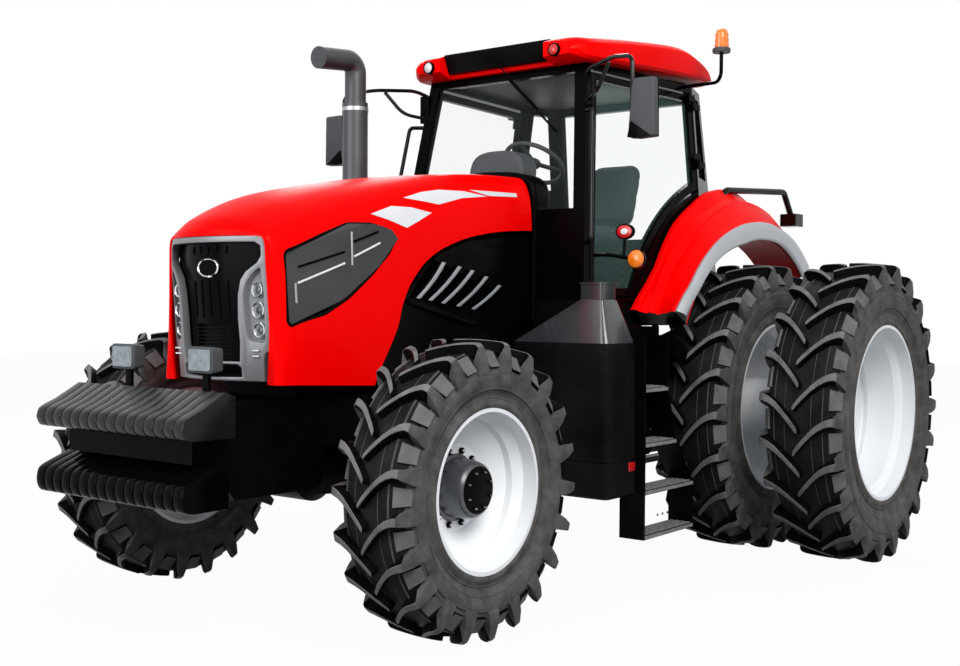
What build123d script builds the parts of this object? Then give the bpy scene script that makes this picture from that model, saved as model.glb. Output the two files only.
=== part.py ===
"""Farm tractor with twin rear wheels, front weights and a glazed cab.

Units are millimetres.  +X is forward, +Y is the tractor's left, +Z is up.  Every x in this file is
counted from the rear axle and every z from the ground.  write_nodes() then moves the whole tractor
back, so that the frame's origin is on the ground in the middle of its length.
"""
from build123d import *
import math
import os

# ---- clearances -----------------------------------------------------------------------------------
SEAT_GAP = 0.3          # between curved faces that seat on each other
RUN_GAP = 8.0           # between pieces that move past each other
PIN_GAP = 0.05          # round a pin in its bore
PANEL_GAP = 12.0        # round doors and hood

# ---- wheels ---------------------------------------------------------------------------------------
WHEELBASE = 2996.0
REAR_TYRE_R, REAR_TYRE_W = 925.0, 465.0
REAR_RIM_R, REAR_RIM_W = 559.0, 410.0
REAR_TRACK_IN, REAR_TRACK_OUT = 1092.0, 1808.0      # half tracks of the inner and outer twin
FRONT_TYRE_R, FRONT_TYRE_W = 705.0, 385.0
FRONT_RIM_R, FRONT_RIM_W = 406.0, 330.0
FRONT_TRACK = 1060.0                                # half track
REAR_LUGS, FRONT_LUGS = 22, 21                       # bars in each of a tyre's two rows
LUG_H, LUG_HALF_W, LUG_END = 45.0, 32.0, 22.0        # height, half width, end inside the sidewall
LUG_LEAD = 0.7                                       # how far a bar runs round the tyre, in pitches
FLANGE_H, FLANGE_T = 25.0, 12.0                     # rim flange above the bead seat
RIM_T = 12.0                                        # rim and disc plate
WELL_DEPTH = 40.0                                   # drop centre of the rim
FRONT_HUB_R = 140.0
FRONT_HUB_REACH = 97.0                              # hub nose beyond the wheel's middle
FRONT_DISC_IN = 60.0                                # disc inside the wheel's middle
FRONT_DISC_R = 215.0                                # flat middle of the disc
FRONT_HUB_BACK = 75.0                               # hub behind the disc
STUB_R = 45.0
REAR_DISC_IN, REAR_DISC_OUT = -90.0, -170.0         # discs from the middles of the twin wheels
REAR_DISC_R, REAR_PILOT_R = 330.0, 140.0            # flat middle of a disc, and the bore on the hub
REAR_HUB_R = 175.0
KINGPIN_Y = 800.0
KINGPIN_R = 42.0
REAR_SHAFT_R = 55.0

# ---- chassis --------------------------------------------------------------------------------------
FRAME_HALF_W = 320.0
FRAME_Z0, FRAME_Z1 = 660.0, 1105.0
FRONT_REACH = 4212.0
WEIGHT_REACH = 322.0                                 # weights ahead of the frame
FRAME_FRONT_X, FRAME_REAR_X = FRONT_REACH - WEIGHT_REACH, 2250.0
AXLE_NOTCH_HALF, AXLE_NOTCH_Z = 175.0, 860.0
BLOCK_HALF_W, BLOCK_X0, BLOCK_X1, BLOCK_Z1 = 250.0, 1760.0, 3300.0, 1820.0
GEARBOX_HALF_W, GEARBOX_REAR_X = 235.0, -400.0
GEARBOX_Z0, GEARBOX_Z1 = 520.0, 1180.0
SUMP_Z = 700.0
PTO_Z, PTO_R, PTO_LENGTH = 770.0, 17.5, 110.0
TOP_LINK_Z, TOP_LINK_R, TOP_EAR_Y, TOP_LINK_LENGTH = 1010.0, 16.0, 38.0, 700.0
TOP_LINK_UP_DEG = 60.0                               # folded up behind the cab
LIFT_SHAFT_R = 40.0
TRUMPET_R, TRUMPET_END_Y = 130.0, 850.0
BRAKE_R, BRAKE_END_Y = 245.0, 430.0

# ---- front weights --------------------------------------------------------------------------------
WEIGHT_HALF_W = 540.0
LAMP_Y, LAMP_HALF_W, LAMP_H = 283.0, 78.0, 122.0     # work lamps over the weights
WEIGHT_COUNT = 16
# row: bottom z, top z at the front, top z at the back, back x
WEIGHT_ROWS = (
    (980.0, 1090.0, 1180.0, FRONT_REACH - 287.0),
    (672.0, 812.0, 868.0, FRONT_REACH - 252.0),
)

# ---- cab ------------------------------------------------------------------------------------------
CAB_Z0, CAB_Z1 = 1600.0, 3050.0
CAB_WALL = 60.0
CAB_HALF_W = 800.0                                   # the walls inside the fenders stand at this
# corner of the cab's outline: x, half width at CAB_Z0, then x, half width at CAB_Z1
CAB_CORNERS = (
    (1492.0, 755.0, 1256.0, 605.0),                  # windscreen pillar
    (170.0, 864.0, 100.0, 700.0),                    # door hinge pillar
    (-420.0, 660.0, -200.0, 600.0),                  # rear pillar
)
FLOOR_Z0 = 1450.0
FENDER_X, FENDER_OUT, LIP_IN = -100.0, 1150.0, 1070.0   # fender's centre, its outer edge and its lip's inner one
# fender station: angle up from forward, then how far beyond the tyre's radius the inner edge, the
# middle, the lip and the arch lie
FENDER_STATIONS = (
    (28.0, 260.0, 310.0, 290.0, 205.0),
    (52.0, 337.0, 331.0, 287.0, 187.0),
    (76.0, 460.0, 375.0, 280.0, 180.0),
    (104.0, 475.0, 400.0, 280.0, 180.0),
    (128.0, 465.0, 420.0, 300.0, 185.0),
)
GLASS_T = 8.0
GLASS_IN = 18.0                                      # glass lies this far inside the outer face
DOOR_Z0, DOOR_Z1 = 1633.0, 2985.0
DOOR_FRAME, DOOR_T = 45.0, 40.0                      # frame seen round the door's glass, its depth
DOOR_OPEN_DEG = 60.0

# ---- hood -----------------------------------------------------------------------------------------
HOOD_FRONT_X = 3590.0
HOOD_T = 14.0
HOOD_HINGE_X, HOOD_HINGE_Z = 1553.0, 2320.0
HOOD_LUG_R, HOOD_PIN_R, HOOD_LUG_Y = 12.0, 7.0, 40.0
HOOD_OPEN_DEG = 45.0
# station: x, half width low down, half width and z of the shoulder, half width and z of the ridge,
# z of the middle
HOOD_STATIONS = (
    (1547.0, 425.0, 415.0, 2170.0, 345.0, 2285.0, 2350.0),
    (2250.0, 450.0, 440.0, 2120.0, 340.0, 2235.0, 2297.0),
    (2950.0, 458.0, 440.0, 1985.0, 335.0, 2130.0, 2187.0),
    (3590.0, 430.0, 362.0, 1770.0, 330.0, 1879.0, 1925.0),
)
HOOD_LOW_Z = 1185.0

# ---- linkage --------------------------------------------------------------------------------------
LINK_PIVOT_X, LINK_PIVOT_Z, LINK_Y = -250.0, 600.0, 390.0
LINK_LENGTH = 950.0
LIFT_ARM_LENGTH, LIFT_PIVOT_Z = 500.0, 1260.0
LINK_EYE_R, LINK_BORE_R = 48.0, 18.5
LINK_T = 38.0
LIFT_ARM_Y, LIFT_ROD_Y, LIFT_PIN_R = 277.0, 340.0, 14.0
DRAWBAR_X, DRAWBAR_Z, DRAWBAR_R = -950.0, 400.0, 16.0

FRONT_X = WHEELBASE
REAR_REACH = LINK_LENGTH - LINK_PIVOT_X + LINK_EYE_R
ORIGIN_X = (FRONT_REACH - REAR_REACH) / 2            # the middle of the tractor's length


# ---- helpers --------------------------------------------------------------------------------------
def face(points):
    return make_face(Polyline(*points, close=True))


def prism_y(outline, y0, y1):
    """A side outline of (x, z) points between two y."""
    return extrude(face([(x, y0, z) for x, z in outline]), amount=y1 - y0, dir=(0, 1, 0))


def prism_z(outline, z0, z1):
    """A plan outline of (x, y) points between two z."""
    return extrude(face([(x, y, z0) for x, y in outline]), amount=z1 - z0, dir=(0, 0, 1))


def prism_x(outline, x0, x1):
    """A front outline of (y, z) points between two x."""
    return extrude(face([(x0, y, z) for y, z in outline]), amount=x1 - x0, dir=(1, 0, 0))


def block(x0, x1, y0, y1, z0, z1):
    return Pos((x0 + x1) / 2, (y0 + y1) / 2, (z0 + z1) / 2) * Box(x1 - x0, y1 - y0, z1 - z0)


def turned(profile, x, z):
    """A ring turned about a cross axis at (x, z), from (y, radius) points."""
    outline = face([(x + r, y, z) for y, r in profile])
    return revolve(outline, axis=Axis((x, 0, z), (0, 1, 0)), revolution_arc=360)


def rod_y(x, z, r, y0, y1):
    return Pos(x, (y0 + y1) / 2, z) * Rot(90, 0, 0) * Cylinder(r, y1 - y0)


def rod_z(x, y, r, z0, z1):
    return Pos(x, y, (z0 + z1) / 2) * Cylinder(r, z1 - z0)


def tube(points, r, bend):
    """A round bar or pipe along straight runs with tangent bends."""
    path = FilletPolyline(*points, radius=bend) if len(points) > 2 else Polyline(*points)
    return sweep(Plane(origin=path @ 0, z_dir=path % 0) * Circle(r), path=path)


def other_side(shape):
    return mirror(shape, about=Plane.XZ)


def both(shape):
    return Compound([*shape.solids(), *other_side(shape).solids()])


def joined(*shapes):
    whole = shapes[0]
    for piece in shapes[1:]:
        whole += piece
    return whole


# ---- wheels ---------------------------------------------------------------------------------------
def rim_ring(y, rim_r, rim_w, disc_y, join_y, disc_r, bore_r):
    """A drop-centre rim with its dished disc, turned as one piece about the wheel's axis.

    The disc leaves the barrel at join_y and dishes in to its flat middle at disc_y.
    """
    seat = rim_r - FLANGE_H
    edge = rim_w / 2
    shoulder, well = edge - 80, edge - 80 - WELL_DEPTH
    inner = seat - RIM_T
    outside = [
        (edge, rim_r), (edge - FLANGE_T, rim_r), (edge - FLANGE_T, seat), (shoulder, seat),
        (well, seat - WELL_DEPTH), (-well, seat - WELL_DEPTH), (-shoulder, seat),
        (FLANGE_T - edge, seat), (FLANGE_T - edge, rim_r), (-edge, rim_r), (-edge, inner),
    ]
    step = [(-shoulder - 4, inner), (-well - 4, inner - WELL_DEPTH)]
    in_well = join_y > -well
    join_r = inner - WELL_DEPTH if in_well else inner
    disc = [
        (join_y, join_r), (disc_y, disc_r), (disc_y, bore_r), (disc_y + RIM_T, bore_r),
        (disc_y + RIM_T, disc_r - 4), (join_y + RIM_T, join_r),
    ]
    across = [(well + 4, inner - WELL_DEPTH), (shoulder + 4, inner), (edge, inner)]
    inside = step + disc + across if in_well else disc + step + across
    return [(y + s, r) for s, r in outside + inside]


def faceted_ring(stations, x, z, count):
    """A drum of flat facets about a cross axis, as a ruled loft through rings of (y, radius)."""
    turn = 2 * math.pi / count
    return loft([face([(x + r * math.cos(k * turn), y, z + r * math.sin(k * turn)) for k in range(count)])
                 for y, r in stations], ruled=True)


def tyre(x, y, tyre_r, tyre_w, rim_r, rim_w, lugs):
    """A field tyre with two rows of slanted bars, whose inner ends meet the ground first.

    The bars of one row stand half a pitch from the other's. Their tips reach the tyre's radius.
    """
    seat = (rim_r - FLANGE_H + SEAT_GAP) / math.cos(math.pi / lugs)
    half, base = tyre_w / 2, tyre_r - LUG_H
    bead = rim_w / 2 - FLANGE_T - SEAT_GAP
    side = [(half - LUG_END, base), (half, (rim_r + base) / 2), (bead, rim_r + 8)]
    rings = [(y - s, r) for s, r in reversed(side)] + [(y + s, r) for s, r in side]
    carcass = faceted_ring(rings, x, tyre_r, lugs)
    carcass -= faceted_ring([(y - half, seat), (y + half, seat)], x, tyre_r, lugs)
    pitch = 2 * math.pi / lugs
    lead, root = LUG_LEAD * pitch * tyre_r, base - 30
    tip = math.sqrt(tyre_r ** 2 - (lead / 2 + LUG_HALF_W) ** 2)
    bars = []
    for sign, first in ((1, 0.5), (-1, 0.0)):
        for k in range(lugs):
            a = (k + first + LUG_LEAD / 2) * pitch
            out, along = Vector(math.sin(a), 0, math.cos(a)), Vector(math.cos(a), 0, -math.sin(a))
            plan = [(half - LUG_END - 2, -lead / 2 - LUG_HALF_W), (half - LUG_END - 2, -lead / 2 + LUG_HALF_W),
                    (-12, lead / 2 + LUG_HALF_W - 6), (-12, lead / 2 - LUG_HALF_W + 6)]
            foot = Vector(x, y, tyre_r) + out * root
            bar = face([tuple(foot + along * d + Vector(0, sign * s, 0)) for s, d in plan])
            bars.append(extrude(bar, amount=tip - root, dir=tuple(out)))
    return carcass.fuse(*bars)


def front_rim():
    return turned(
        rim_ring(FRONT_TRACK, FRONT_RIM_R, FRONT_RIM_W, -FRONT_DISC_IN, 0, FRONT_DISC_R, FRONT_HUB_R + SEAT_GAP),
        FRONT_X, FRONT_TYRE_R)


def front_tyre():
    return tyre(FRONT_X, FRONT_TRACK, FRONT_TYRE_R, FRONT_TYRE_W, FRONT_RIM_R, FRONT_RIM_W, FRONT_LUGS)


def front_hub():
    """The planetary hub: its flange takes the wheel's disc from inside and its drum stands out."""
    disc = FRONT_TRACK - FRONT_DISC_IN
    nose = FRONT_TRACK + FRONT_HUB_REACH
    back = disc - FRONT_HUB_BACK
    profile = [
        (back + 65, 0), (back + 65, STUB_R + PIN_GAP), (back, STUB_R + PIN_GAP), (back, FRONT_HUB_R + 20),
        (disc - 25, FRONT_HUB_R + 20), (disc - 25, 205), (disc, 205), (disc, FRONT_HUB_R),
        (nose - 40, FRONT_HUB_R - 8), (nose - 12, FRONT_HUB_R - 14), (nose, FRONT_HUB_R - 30), (nose, 0),
    ]
    return turned(profile, FRONT_X, FRONT_TYRE_R)


def rear_rims():
    """The two rims of a twin wheel, each with its own dished disc."""
    rings = [rim_ring(track, REAR_RIM_R, REAR_RIM_W, disc, disc + join, REAR_DISC_R, REAR_PILOT_R + SEAT_GAP)
             for track, disc, join in ((REAR_TRACK_IN, REAR_DISC_IN, 60), (REAR_TRACK_OUT, REAR_DISC_OUT, 20))]
    return Compound([turned(ring, 0, REAR_TYRE_R).solid() for ring in rings])


def rear_hub():
    """Axle shaft, wheel flange and the spacer drum that carries the outer rim."""
    disc_in = REAR_TRACK_IN + REAR_DISC_IN
    disc_out = REAR_TRACK_OUT + REAR_DISC_OUT
    end = disc_out + RIM_T
    return turned([
        (TRUMPET_END_Y - 120, 0), (TRUMPET_END_Y - 120, REAR_SHAFT_R), (TRUMPET_END_Y + 30, REAR_SHAFT_R),
        (TRUMPET_END_Y + 30, REAR_HUB_R), (disc_in, REAR_HUB_R + 45), (disc_in, REAR_PILOT_R),
        (disc_in + RIM_T, REAR_PILOT_R), (disc_in + RIM_T, REAR_HUB_R), (disc_out, REAR_HUB_R),
        (disc_out, REAR_PILOT_R), (end + 20, REAR_PILOT_R), (end + 30, REAR_PILOT_R - 15), (end + 30, 70),
        (end + 90, 60), (end + 90, 0),
    ], 0, REAR_TYRE_R)


def rear_tyres():
    """The two tyres of a twin wheel."""
    inner = tyre(0, REAR_TRACK_IN, REAR_TYRE_R, REAR_TYRE_W, REAR_RIM_R, REAR_RIM_W, REAR_LUGS)
    return Compound([inner.solid(), (Pos(0, REAR_TRACK_OUT - REAR_TRACK_IN, 0) * inner).solid()])


# ---- front axle -----------------------------------------------------------------------------------
BEAM_HALF_H, BEAM_HALF_X = 62.0, 85.0
KNUCKLE_HALF_H = 150.0
FORK_GAP = 6.0
ARM_BACK = 230.0                                    # steering arm, from the kingpin to the tie rod
ARM_Z, ARM_T, BALL_R = FRONT_TYRE_R - 145.0, 35.0, 12.0


def front_axle():
    """A cast beam, deep in the middle, with an eye for the kingpin at each end."""
    z = FRONT_TYRE_R
    outline = [(-700, 62), (-330, 92), (-120, 118), (120, 118), (330, 92), (700, 62),
               (700, -62), (330, -88), (120, -112), (-120, -112), (-330, -88), (-700, -62)]
    beam = prism_x([(y, z + dz) for y, dz in outline], FRONT_X - BEAM_HALF_X, FRONT_X + BEAM_HALF_X)
    case = [(-190, 0), (-190, 100), (-150, 150), (150, 150), (190, 100), (190, 0)]
    beam += Pos(0, -70, 0) * turned(case, FRONT_X, z - 10)
    for side in (-1, 1):
        beam += rod_z(FRONT_X, side * KINGPIN_Y, 75, z - BEAM_HALF_H, z + BEAM_HALF_H)
        beam += block(FRONT_X - 60, FRONT_X + 60, side * 740 - 60, side * 740 + 60, z - BEAM_HALF_H, z + BEAM_HALF_H)
        beam -= rod_z(FRONT_X, side * KINGPIN_Y, KINGPIN_R + PIN_GAP, z - 80, z + 80)
    pivot = Pos(FRONT_X, 0, z + 75) * Rot(0, 90, 0) * Cylinder(58, 2 * AXLE_NOTCH_HALF)
    return beam + pivot


def knuckle():
    """Kingpin, fork, steering arm and the stub that the hub turns on."""
    z = FRONT_TYRE_R
    hub_back = FRONT_TRACK - FRONT_DISC_IN - FRONT_HUB_BACK
    pin = rod_z(FRONT_X, KINGPIN_Y, KINGPIN_R, z - KNUCKLE_HALF_H, z + KNUCKLE_HALF_H)
    y0, y1 = KINGPIN_Y - 70, KINGPIN_Y + 100
    gap = BEAM_HALF_H + FORK_GAP
    top = block(FRONT_X - 70, FRONT_X + 70, y0, y1, z + gap, z + KNUCKLE_HALF_H)
    low = block(FRONT_X - 70, FRONT_X + 70, y0, y1, z - KNUCKLE_HALF_H, z - gap)
    back = rod_y(FRONT_X, z, KNUCKLE_HALF_H, KINGPIN_Y + 85, hub_back - RUN_GAP)
    stub = rod_y(FRONT_X, z, STUB_R, KINGPIN_Y + 85, hub_back + 55)
    ball_x = FRONT_X - ARM_BACK
    arm = block(ball_x, FRONT_X - 60, KINGPIN_Y - 30, KINGPIN_Y + 30, ARM_Z, ARM_Z + ARM_T)
    arm += rod_z(ball_x, KINGPIN_Y, 30, ARM_Z, ARM_Z + ARM_T)
    ball = rod_z(ball_x, KINGPIN_Y, BALL_R, ARM_Z, ARM_Z + 2 * ARM_T + 2)
    return joined(pin, top, low, back, stub, arm, ball)


def tie_rod():
    """The rod between the two steering arms, behind and below the beam."""
    x, z0 = FRONT_X - ARM_BACK, ARM_Z + ARM_T + 2
    rod = rod_y(x, z0 + ARM_T / 2, 16, -KINGPIN_Y, KINGPIN_Y)
    for side, open_eye in ((1, 0), (-1, 3)):
        rod += rod_z(x, side * KINGPIN_Y, 28, z0, z0 + ARM_T)
        rod -= rod_z(x, side * KINGPIN_Y, BALL_R + PIN_GAP + open_eye, z0 - 5, z0 + ARM_T + 5)
    return rod


# ---- chassis --------------------------------------------------------------------------------------
def front_frame():
    """The cast front support: it arches over the axle and holds its pivot."""
    x0, x1, z0, z1 = FRAME_REAR_X, FRAME_FRONT_X, FRAME_Z0, FRAME_Z1
    a, b = FRONT_X - AXLE_NOTCH_HALF, FRONT_X + AXLE_NOTCH_HALF
    outline = [
        (x0, z1), (x1, z1), (x1, z0 + 190), (x1 - 150, z0), (b + 40, z0), (b, z0 + 40),
        (b, AXLE_NOTCH_Z), (a, AXLE_NOTCH_Z), (a, z0 + 40), (a - 40, z0), (x0 + 260, z0), (x0, z0 + 110),
    ]
    return prism_y(outline, -FRAME_HALF_W, FRAME_HALF_W)


def engine_block():
    """The engine as one plain block, with its sump between gearbox and front frame."""
    outline = [
        (BLOCK_X0, SUMP_Z), (FRAME_REAR_X, SUMP_Z), (FRAME_REAR_X, FRAME_Z1), (BLOCK_X1, FRAME_Z1),
        (BLOCK_X1, BLOCK_Z1), (BLOCK_X0, BLOCK_Z1),
    ]
    return prism_y(outline, -BLOCK_HALF_W, BLOCK_HALF_W)


def gearbox():
    """Clutch housing, gearbox and rear axle centre in one line.

    It carries the link pins, the bearings of the lift shaft, the top link's ears and the shaft stub.
    """
    rear = GEARBOX_REAR_X
    outline = [
        (BLOCK_X0, GEARBOX_Z0 + 100), (BLOCK_X0, GEARBOX_Z1 + 60), (BLOCK_X0 - 120, GEARBOX_Z1),
        (-200, GEARBOX_Z1), (rear, GEARBOX_Z1 - 60), (rear, GEARBOX_Z0 + 60), (rear + 60, GEARBOX_Z0),
        (1300, GEARBOX_Z0),
    ]
    body = prism_y(outline, -GEARBOX_HALF_W, GEARBOX_HALF_W)
    shield = Pos(rear, 0, PTO_Z) * Rot(0, 90, 0) * Cylinder(95, 60)
    stub = Pos(rear - 30 - PTO_LENGTH / 2, 0, PTO_Z) * Rot(0, 90, 0) * Cylinder(PTO_R, PTO_LENGTH)
    pins = rod_y(LINK_PIVOT_X, LINK_PIVOT_Z, LINK_BORE_R, -LINK_Y - 35, LINK_Y + 35)
    case = joined(body, shield, stub, pins)
    for side in (-1, 1):
        y = side * (GEARBOX_HALF_W - 45)
        case += block(LINK_PIVOT_X - 75, LINK_PIVOT_X + 75, y - 40, y + 40, GEARBOX_Z1 - 90, LIFT_PIVOT_Z + 60)
        ear = side * TOP_EAR_Y
        case += block(rear - 70, rear, ear - 9, ear + 9, TOP_LINK_Z - 35, TOP_LINK_Z + 35)
    case -= rod_y(LINK_PIVOT_X, LIFT_PIVOT_Z, LIFT_SHAFT_R + PIN_GAP, -400, 400)
    return case - rod_y(rear - 40, TOP_LINK_Z, TOP_LINK_R + PIN_GAP, -80, 80)


def rear_axle_housing():
    """Brake housings and trumpets each side of the gearbox, bored for the axle shafts."""
    side = [
        (GEARBOX_HALF_W, 0), (GEARBOX_HALF_W, BRAKE_R), (BRAKE_END_Y, BRAKE_R),
        (BRAKE_END_Y + 40, TRUMPET_R + 30), (TRUMPET_END_Y - 90, TRUMPET_R),
        (TRUMPET_END_Y - 60, TRUMPET_R + 20), (TRUMPET_END_Y, TRUMPET_R + 20), 
        (TRUMPET_END_Y, REAR_SHAFT_R + PIN_GAP),
        (TRUMPET_END_Y - 130, REAR_SHAFT_R + PIN_GAP), (TRUMPET_END_Y - 130, 0),
    ]
    return both(turned(side, 0, REAR_TYRE_R))


# ---- front weights --------------------------------------------------------------------------------
def weight_row(z0, z_front, z_back, back_x):
    """A row of plate weights side by side, each with a rounded nose and a hand slot, joined at the hooks."""
    pitch = 2 * WEIGHT_HALF_W / WEIGHT_COUNT
    nose = FRONT_REACH
    outline = [
        (back_x, z0), (nose - 40, z0), (nose, z0 + 35), (nose, z_front - 45), (nose - 30, z_front - 10),
        (nose - 90, z_front + 18), (back_x + 60, z_back), (back_x, z_back - 20),
    ]
    row = prism_y(outline, -WEIGHT_HALF_W, WEIGHT_HALF_W)
    slits = [block(back_x + 90, nose + 10, y - 4, y + 4, z0 - 5, z_back + 5)
             for y in (-WEIGHT_HALF_W + n * pitch for n in range(1, WEIGHT_COUNT))]
    return row.cut(*slits)


def front_weights():
    return Compound([weight_row(*row).solid() for row in WEIGHT_ROWS])


def weight_carrier():
    """The bar and bracket on the front frame that the plates hang on."""
    low, high = WEIGHT_ROWS[1], WEIGHT_ROWS[0]
    outline = [
        (FRAME_FRONT_X, high[0] - 10), (FRAME_FRONT_X, FRAME_Z1 - 20), (high[3], FRAME_Z1 - 20),
        (high[3], high[0]), (FRONT_REACH - 120, high[0]), (FRONT_REACH - 120, low[2]),
        (low[3] + 60, low[2]), (low[3], low[2] - 20), (low[3], low[0] + 60), (FRAME_FRONT_X, low[0] + 190),
    ]
    return prism_y(outline, -WEIGHT_HALF_W + 90, WEIGHT_HALF_W - 90)


def work_lamps():
    """Two square lamps on a bar across the front of the frame."""
    x, z0, z1 = FRAME_FRONT_X, FRAME_Z1 + 145, FRAME_Z1 + 145 + LAMP_H
    lamps = joined(*[block(x - 40, x + 35, y - LAMP_HALF_W, y + LAMP_HALF_W, z0, z1) for y in (-LAMP_Y, LAMP_Y)])
    bar = block(x - 25, x - 5, -LAMP_Y - 97, LAMP_Y + 97, FRAME_Z1, z0)
    slot = block(x - 50, x + 10, -LAMP_Y + 83, LAMP_Y - 83, FRAME_Z1 + 40, z1)
    return lamps + (bar - slot)


# ---- hood -----------------------------------------------------------------------------------------
def hood_form(inset):
    """The hood's form, each side `inset` further in, as a loft through its stations."""
    sections = []
    for x, low_w, mid_w, mid_z, top_w, top_z, peak_z in HOOD_STATIONS:
        low_w, mid_w, top_w = low_w - inset, mid_w - inset, top_w - 0.6 * inset
        mid_z, top_z, peak_z = mid_z - 0.4 * inset, top_z - inset, peak_z - inset
        sections.append(make_face([
            Polyline((x, -top_w, top_z), (x, -mid_w, mid_z), (x, -low_w, HOOD_LOW_Z - 60),
                     (x, low_w, HOOD_LOW_Z - 60), (x, mid_w, mid_z), (x, top_w, top_z)),
            ThreePointArc((x, top_w, top_z), (x, 0, peak_z), (x, -top_w, top_z))]))
    return loft(sections)


# lower edge of the hood's sides, from the front back: x, z
HOOD_EDGE = (
    (3700.0, 1190.0), (2935.0, 1160.0), (2771.0, 1436.0), (2700.0, 1618.0), (2568.0, 1767.0), (2362.0, 1881.0),
    (2144.0, 1945.0), (1866.0, 1990.0), (1500.0, 2016.0),
)
# opening in the hood's sides: x, z
SIDE_WINDOW = (
    (3508.0, 1812.0), (3500.0, 1460.0), (3114.0, 1603.0), (2900.0, 1762.0), (2760.0, 1908.0), (2810.0, 1950.0),
    (2930.0, 1972.0), (3095.0, 1966.0),
)


def hood():
    """The tilting hood: a shell with open front and rear, cut up at the rear over the side panels."""
    shell = hood_form(0) - hood_form(HOOD_T)
    wall = hood_form(HOOD_T - 2) & block(HOOD_FRONT_X - HOOD_T, HOOD_FRONT_X, -900, 900, 1000, 2500)
    shell += wall - prism_x(surround_outer(), HOOD_FRONT_X - 50, HOOD_FRONT_X + 50)
    below = prism_y([*HOOD_EDGE, (1500.0, 900.0), (3700.0, 900.0)], -900, 900)
    window = prism_y(SIDE_WINDOW, -900, 900)
    shell = shell - below - window
    for side in (-1, 1):
        y0, y1 = sorted((side * (HOOD_LUG_Y + 22), side * (HOOD_LUG_Y + 40)))
        lug = rod_y(HOOD_HINGE_X, HOOD_HINGE_Z, HOOD_LUG_R, y0, y1)
        lug += block(HOOD_HINGE_X - 2, HOOD_HINGE_X + 24, y0, y1, HOOD_HINGE_Z, HOOD_HINGE_Z + 17)
        shell += lug - rod_y(HOOD_HINGE_X, HOOD_HINGE_Z, HOOD_PIN_R + PIN_GAP, y0 - 5, y1 + 5)
    return shell


def hood_mesh():
    """The screens that close the openings in the hood's sides."""
    screen = hood_form(HOOD_T / 2 - 1) - hood_form(HOOD_T / 2 + 2)
    return screen & (prism_y(SIDE_WINDOW, 250, 900) + prism_y(SIDE_WINDOW, -900, -250))


GRILLE_FRONT = 3624.0
RECESS_HALF_W, RECESS_Z, SLATS = 120.0, (1292.0, 1468.0), 6
RIB_PITCH, BADGE_Z = 60.0, 1737.0
# half outline of the surround's outer and inner edges: y, z
SURROUND_OUTER = ((312.0, 1862.0), (352.0, 1631.0), (372.0, 1440.0), (330.0, 1360.0), (345.0, 1235.0))
SURROUND_INNER = ((292.0, 1845.0), (292.0, 1790.0), (205.0, 1660.0), (190.0, 1560.0), (200.0, 1400.0),
                  (205.0, 1275.0))
LAMP_OUTLINE = ((308.0, 1746.0), (345.0, 1400.0), (228.0, 1392.0), (222.0, 1600.0))


def surround_outer():
    return [*SURROUND_OUTER, *[(-y, z) for y, z in reversed(SURROUND_OUTER)]]


def grille_surround():
    """The shield-shaped frame round the grille, with pockets for the headlamps."""
    inner = [*SURROUND_INNER, *[(-y, z) for y, z in reversed(SURROUND_INNER)]]
    shield = prism_x(surround_outer(), HOOD_FRONT_X - HOOD_T, GRILLE_FRONT)
    shield -= prism_x(inner, HOOD_FRONT_X - HOOD_T - 5, GRILLE_FRONT + 5)
    pocket = prism_x(LAMP_OUTLINE, GRILLE_FRONT - 20, GRILLE_FRONT + 5)
    return shield - pocket - other_side(pocket)


def headlamps():
    """A cluster of three round lamps, stacked, in each pocket."""
    bed = prism_x(LAMP_OUTLINE, GRILLE_FRONT - 20, GRILLE_FRONT - 10)
    for y, z, r in ((275, 1610, 38), (280, 1525, 42), (285, 1442, 42)):
        bed += Pos(GRILLE_FRONT - 8, y, z) * Rot(0, 90, 0) * Cylinder(r, 8)
    return both(bed)


def grille():
    """The black front screen: upright ribs, a bare oval badge and a recess with slats near its foot."""
    inner = [*SURROUND_INNER, *[(-y, z) for y, z in reversed(SURROUND_INNER)]]
    screen = prism_x(inner, HOOD_FRONT_X, HOOD_FRONT_X + 14)
    z0, z1 = RECESS_Z
    screen -= block(HOOD_FRONT_X + 5, HOOD_FRONT_X + 20, -RECESS_HALF_W, RECESS_HALF_W, z0, z1)
    x0, x1 = HOOD_FRONT_X + 4, HOOD_FRONT_X + 20
    ribs = [block(x0 + 8, x1, n * RIB_PITCH - 4, n * RIB_PITCH + 4, z1 + 30, SURROUND_INNER[0][1] - 20)
            for n in range(-2, 3)]
    slats = [block(x0, x1 - 4, -RECESS_HALF_W - 2, RECESS_HALF_W + 2, z - 3, z + 3)
             for z in (z0 + (n + 0.5) * (z1 - z0) / SLATS for n in range(SLATS))]
    badge = extrude(Plane(origin=(x0, 0, BADGE_Z), z_dir=(1, 0, 0), x_dir=(0, 1, 0)) * Ellipse(75, 46), amount=24)
    return screen.fuse(*ribs, *slats, badge)


# ---- engine sides and arch ------------------------------------------------------------------------
PANEL_OUT = 405.0
PANEL_FRONT = ((1560.0, 1990.0), (2130.0, 1925.0), (2400.0, 1840.0), (2735.0, 1560.0), (2880.0, 1180.0))
# recess with louvres: x, z
LOUVRE_RECESS = ((2470.0, 1822.0), (2560.0, 1700.0), (2640.0, 1590.0), (2130.0, 1500.0), (1860.0, 1520.0), (1850.0, 1640.0))
# louvre: x, z of its upper front corner and of its lower front corner
LOUVRES = ((2389.0, 1800.0, 2601.0, 1603.0), (2251.0, 1782.0, 2504.0, 1593.0), (2135.0, 1764.0, 2395.0, 1578.0),
           (2007.0, 1733.0, 2266.0, 1563.0), (1884.0, 1685.0, 2133.0, 1547.0))
LOUVRE_W, LOUVRE_OUT = 42.0, 20.0


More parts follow.
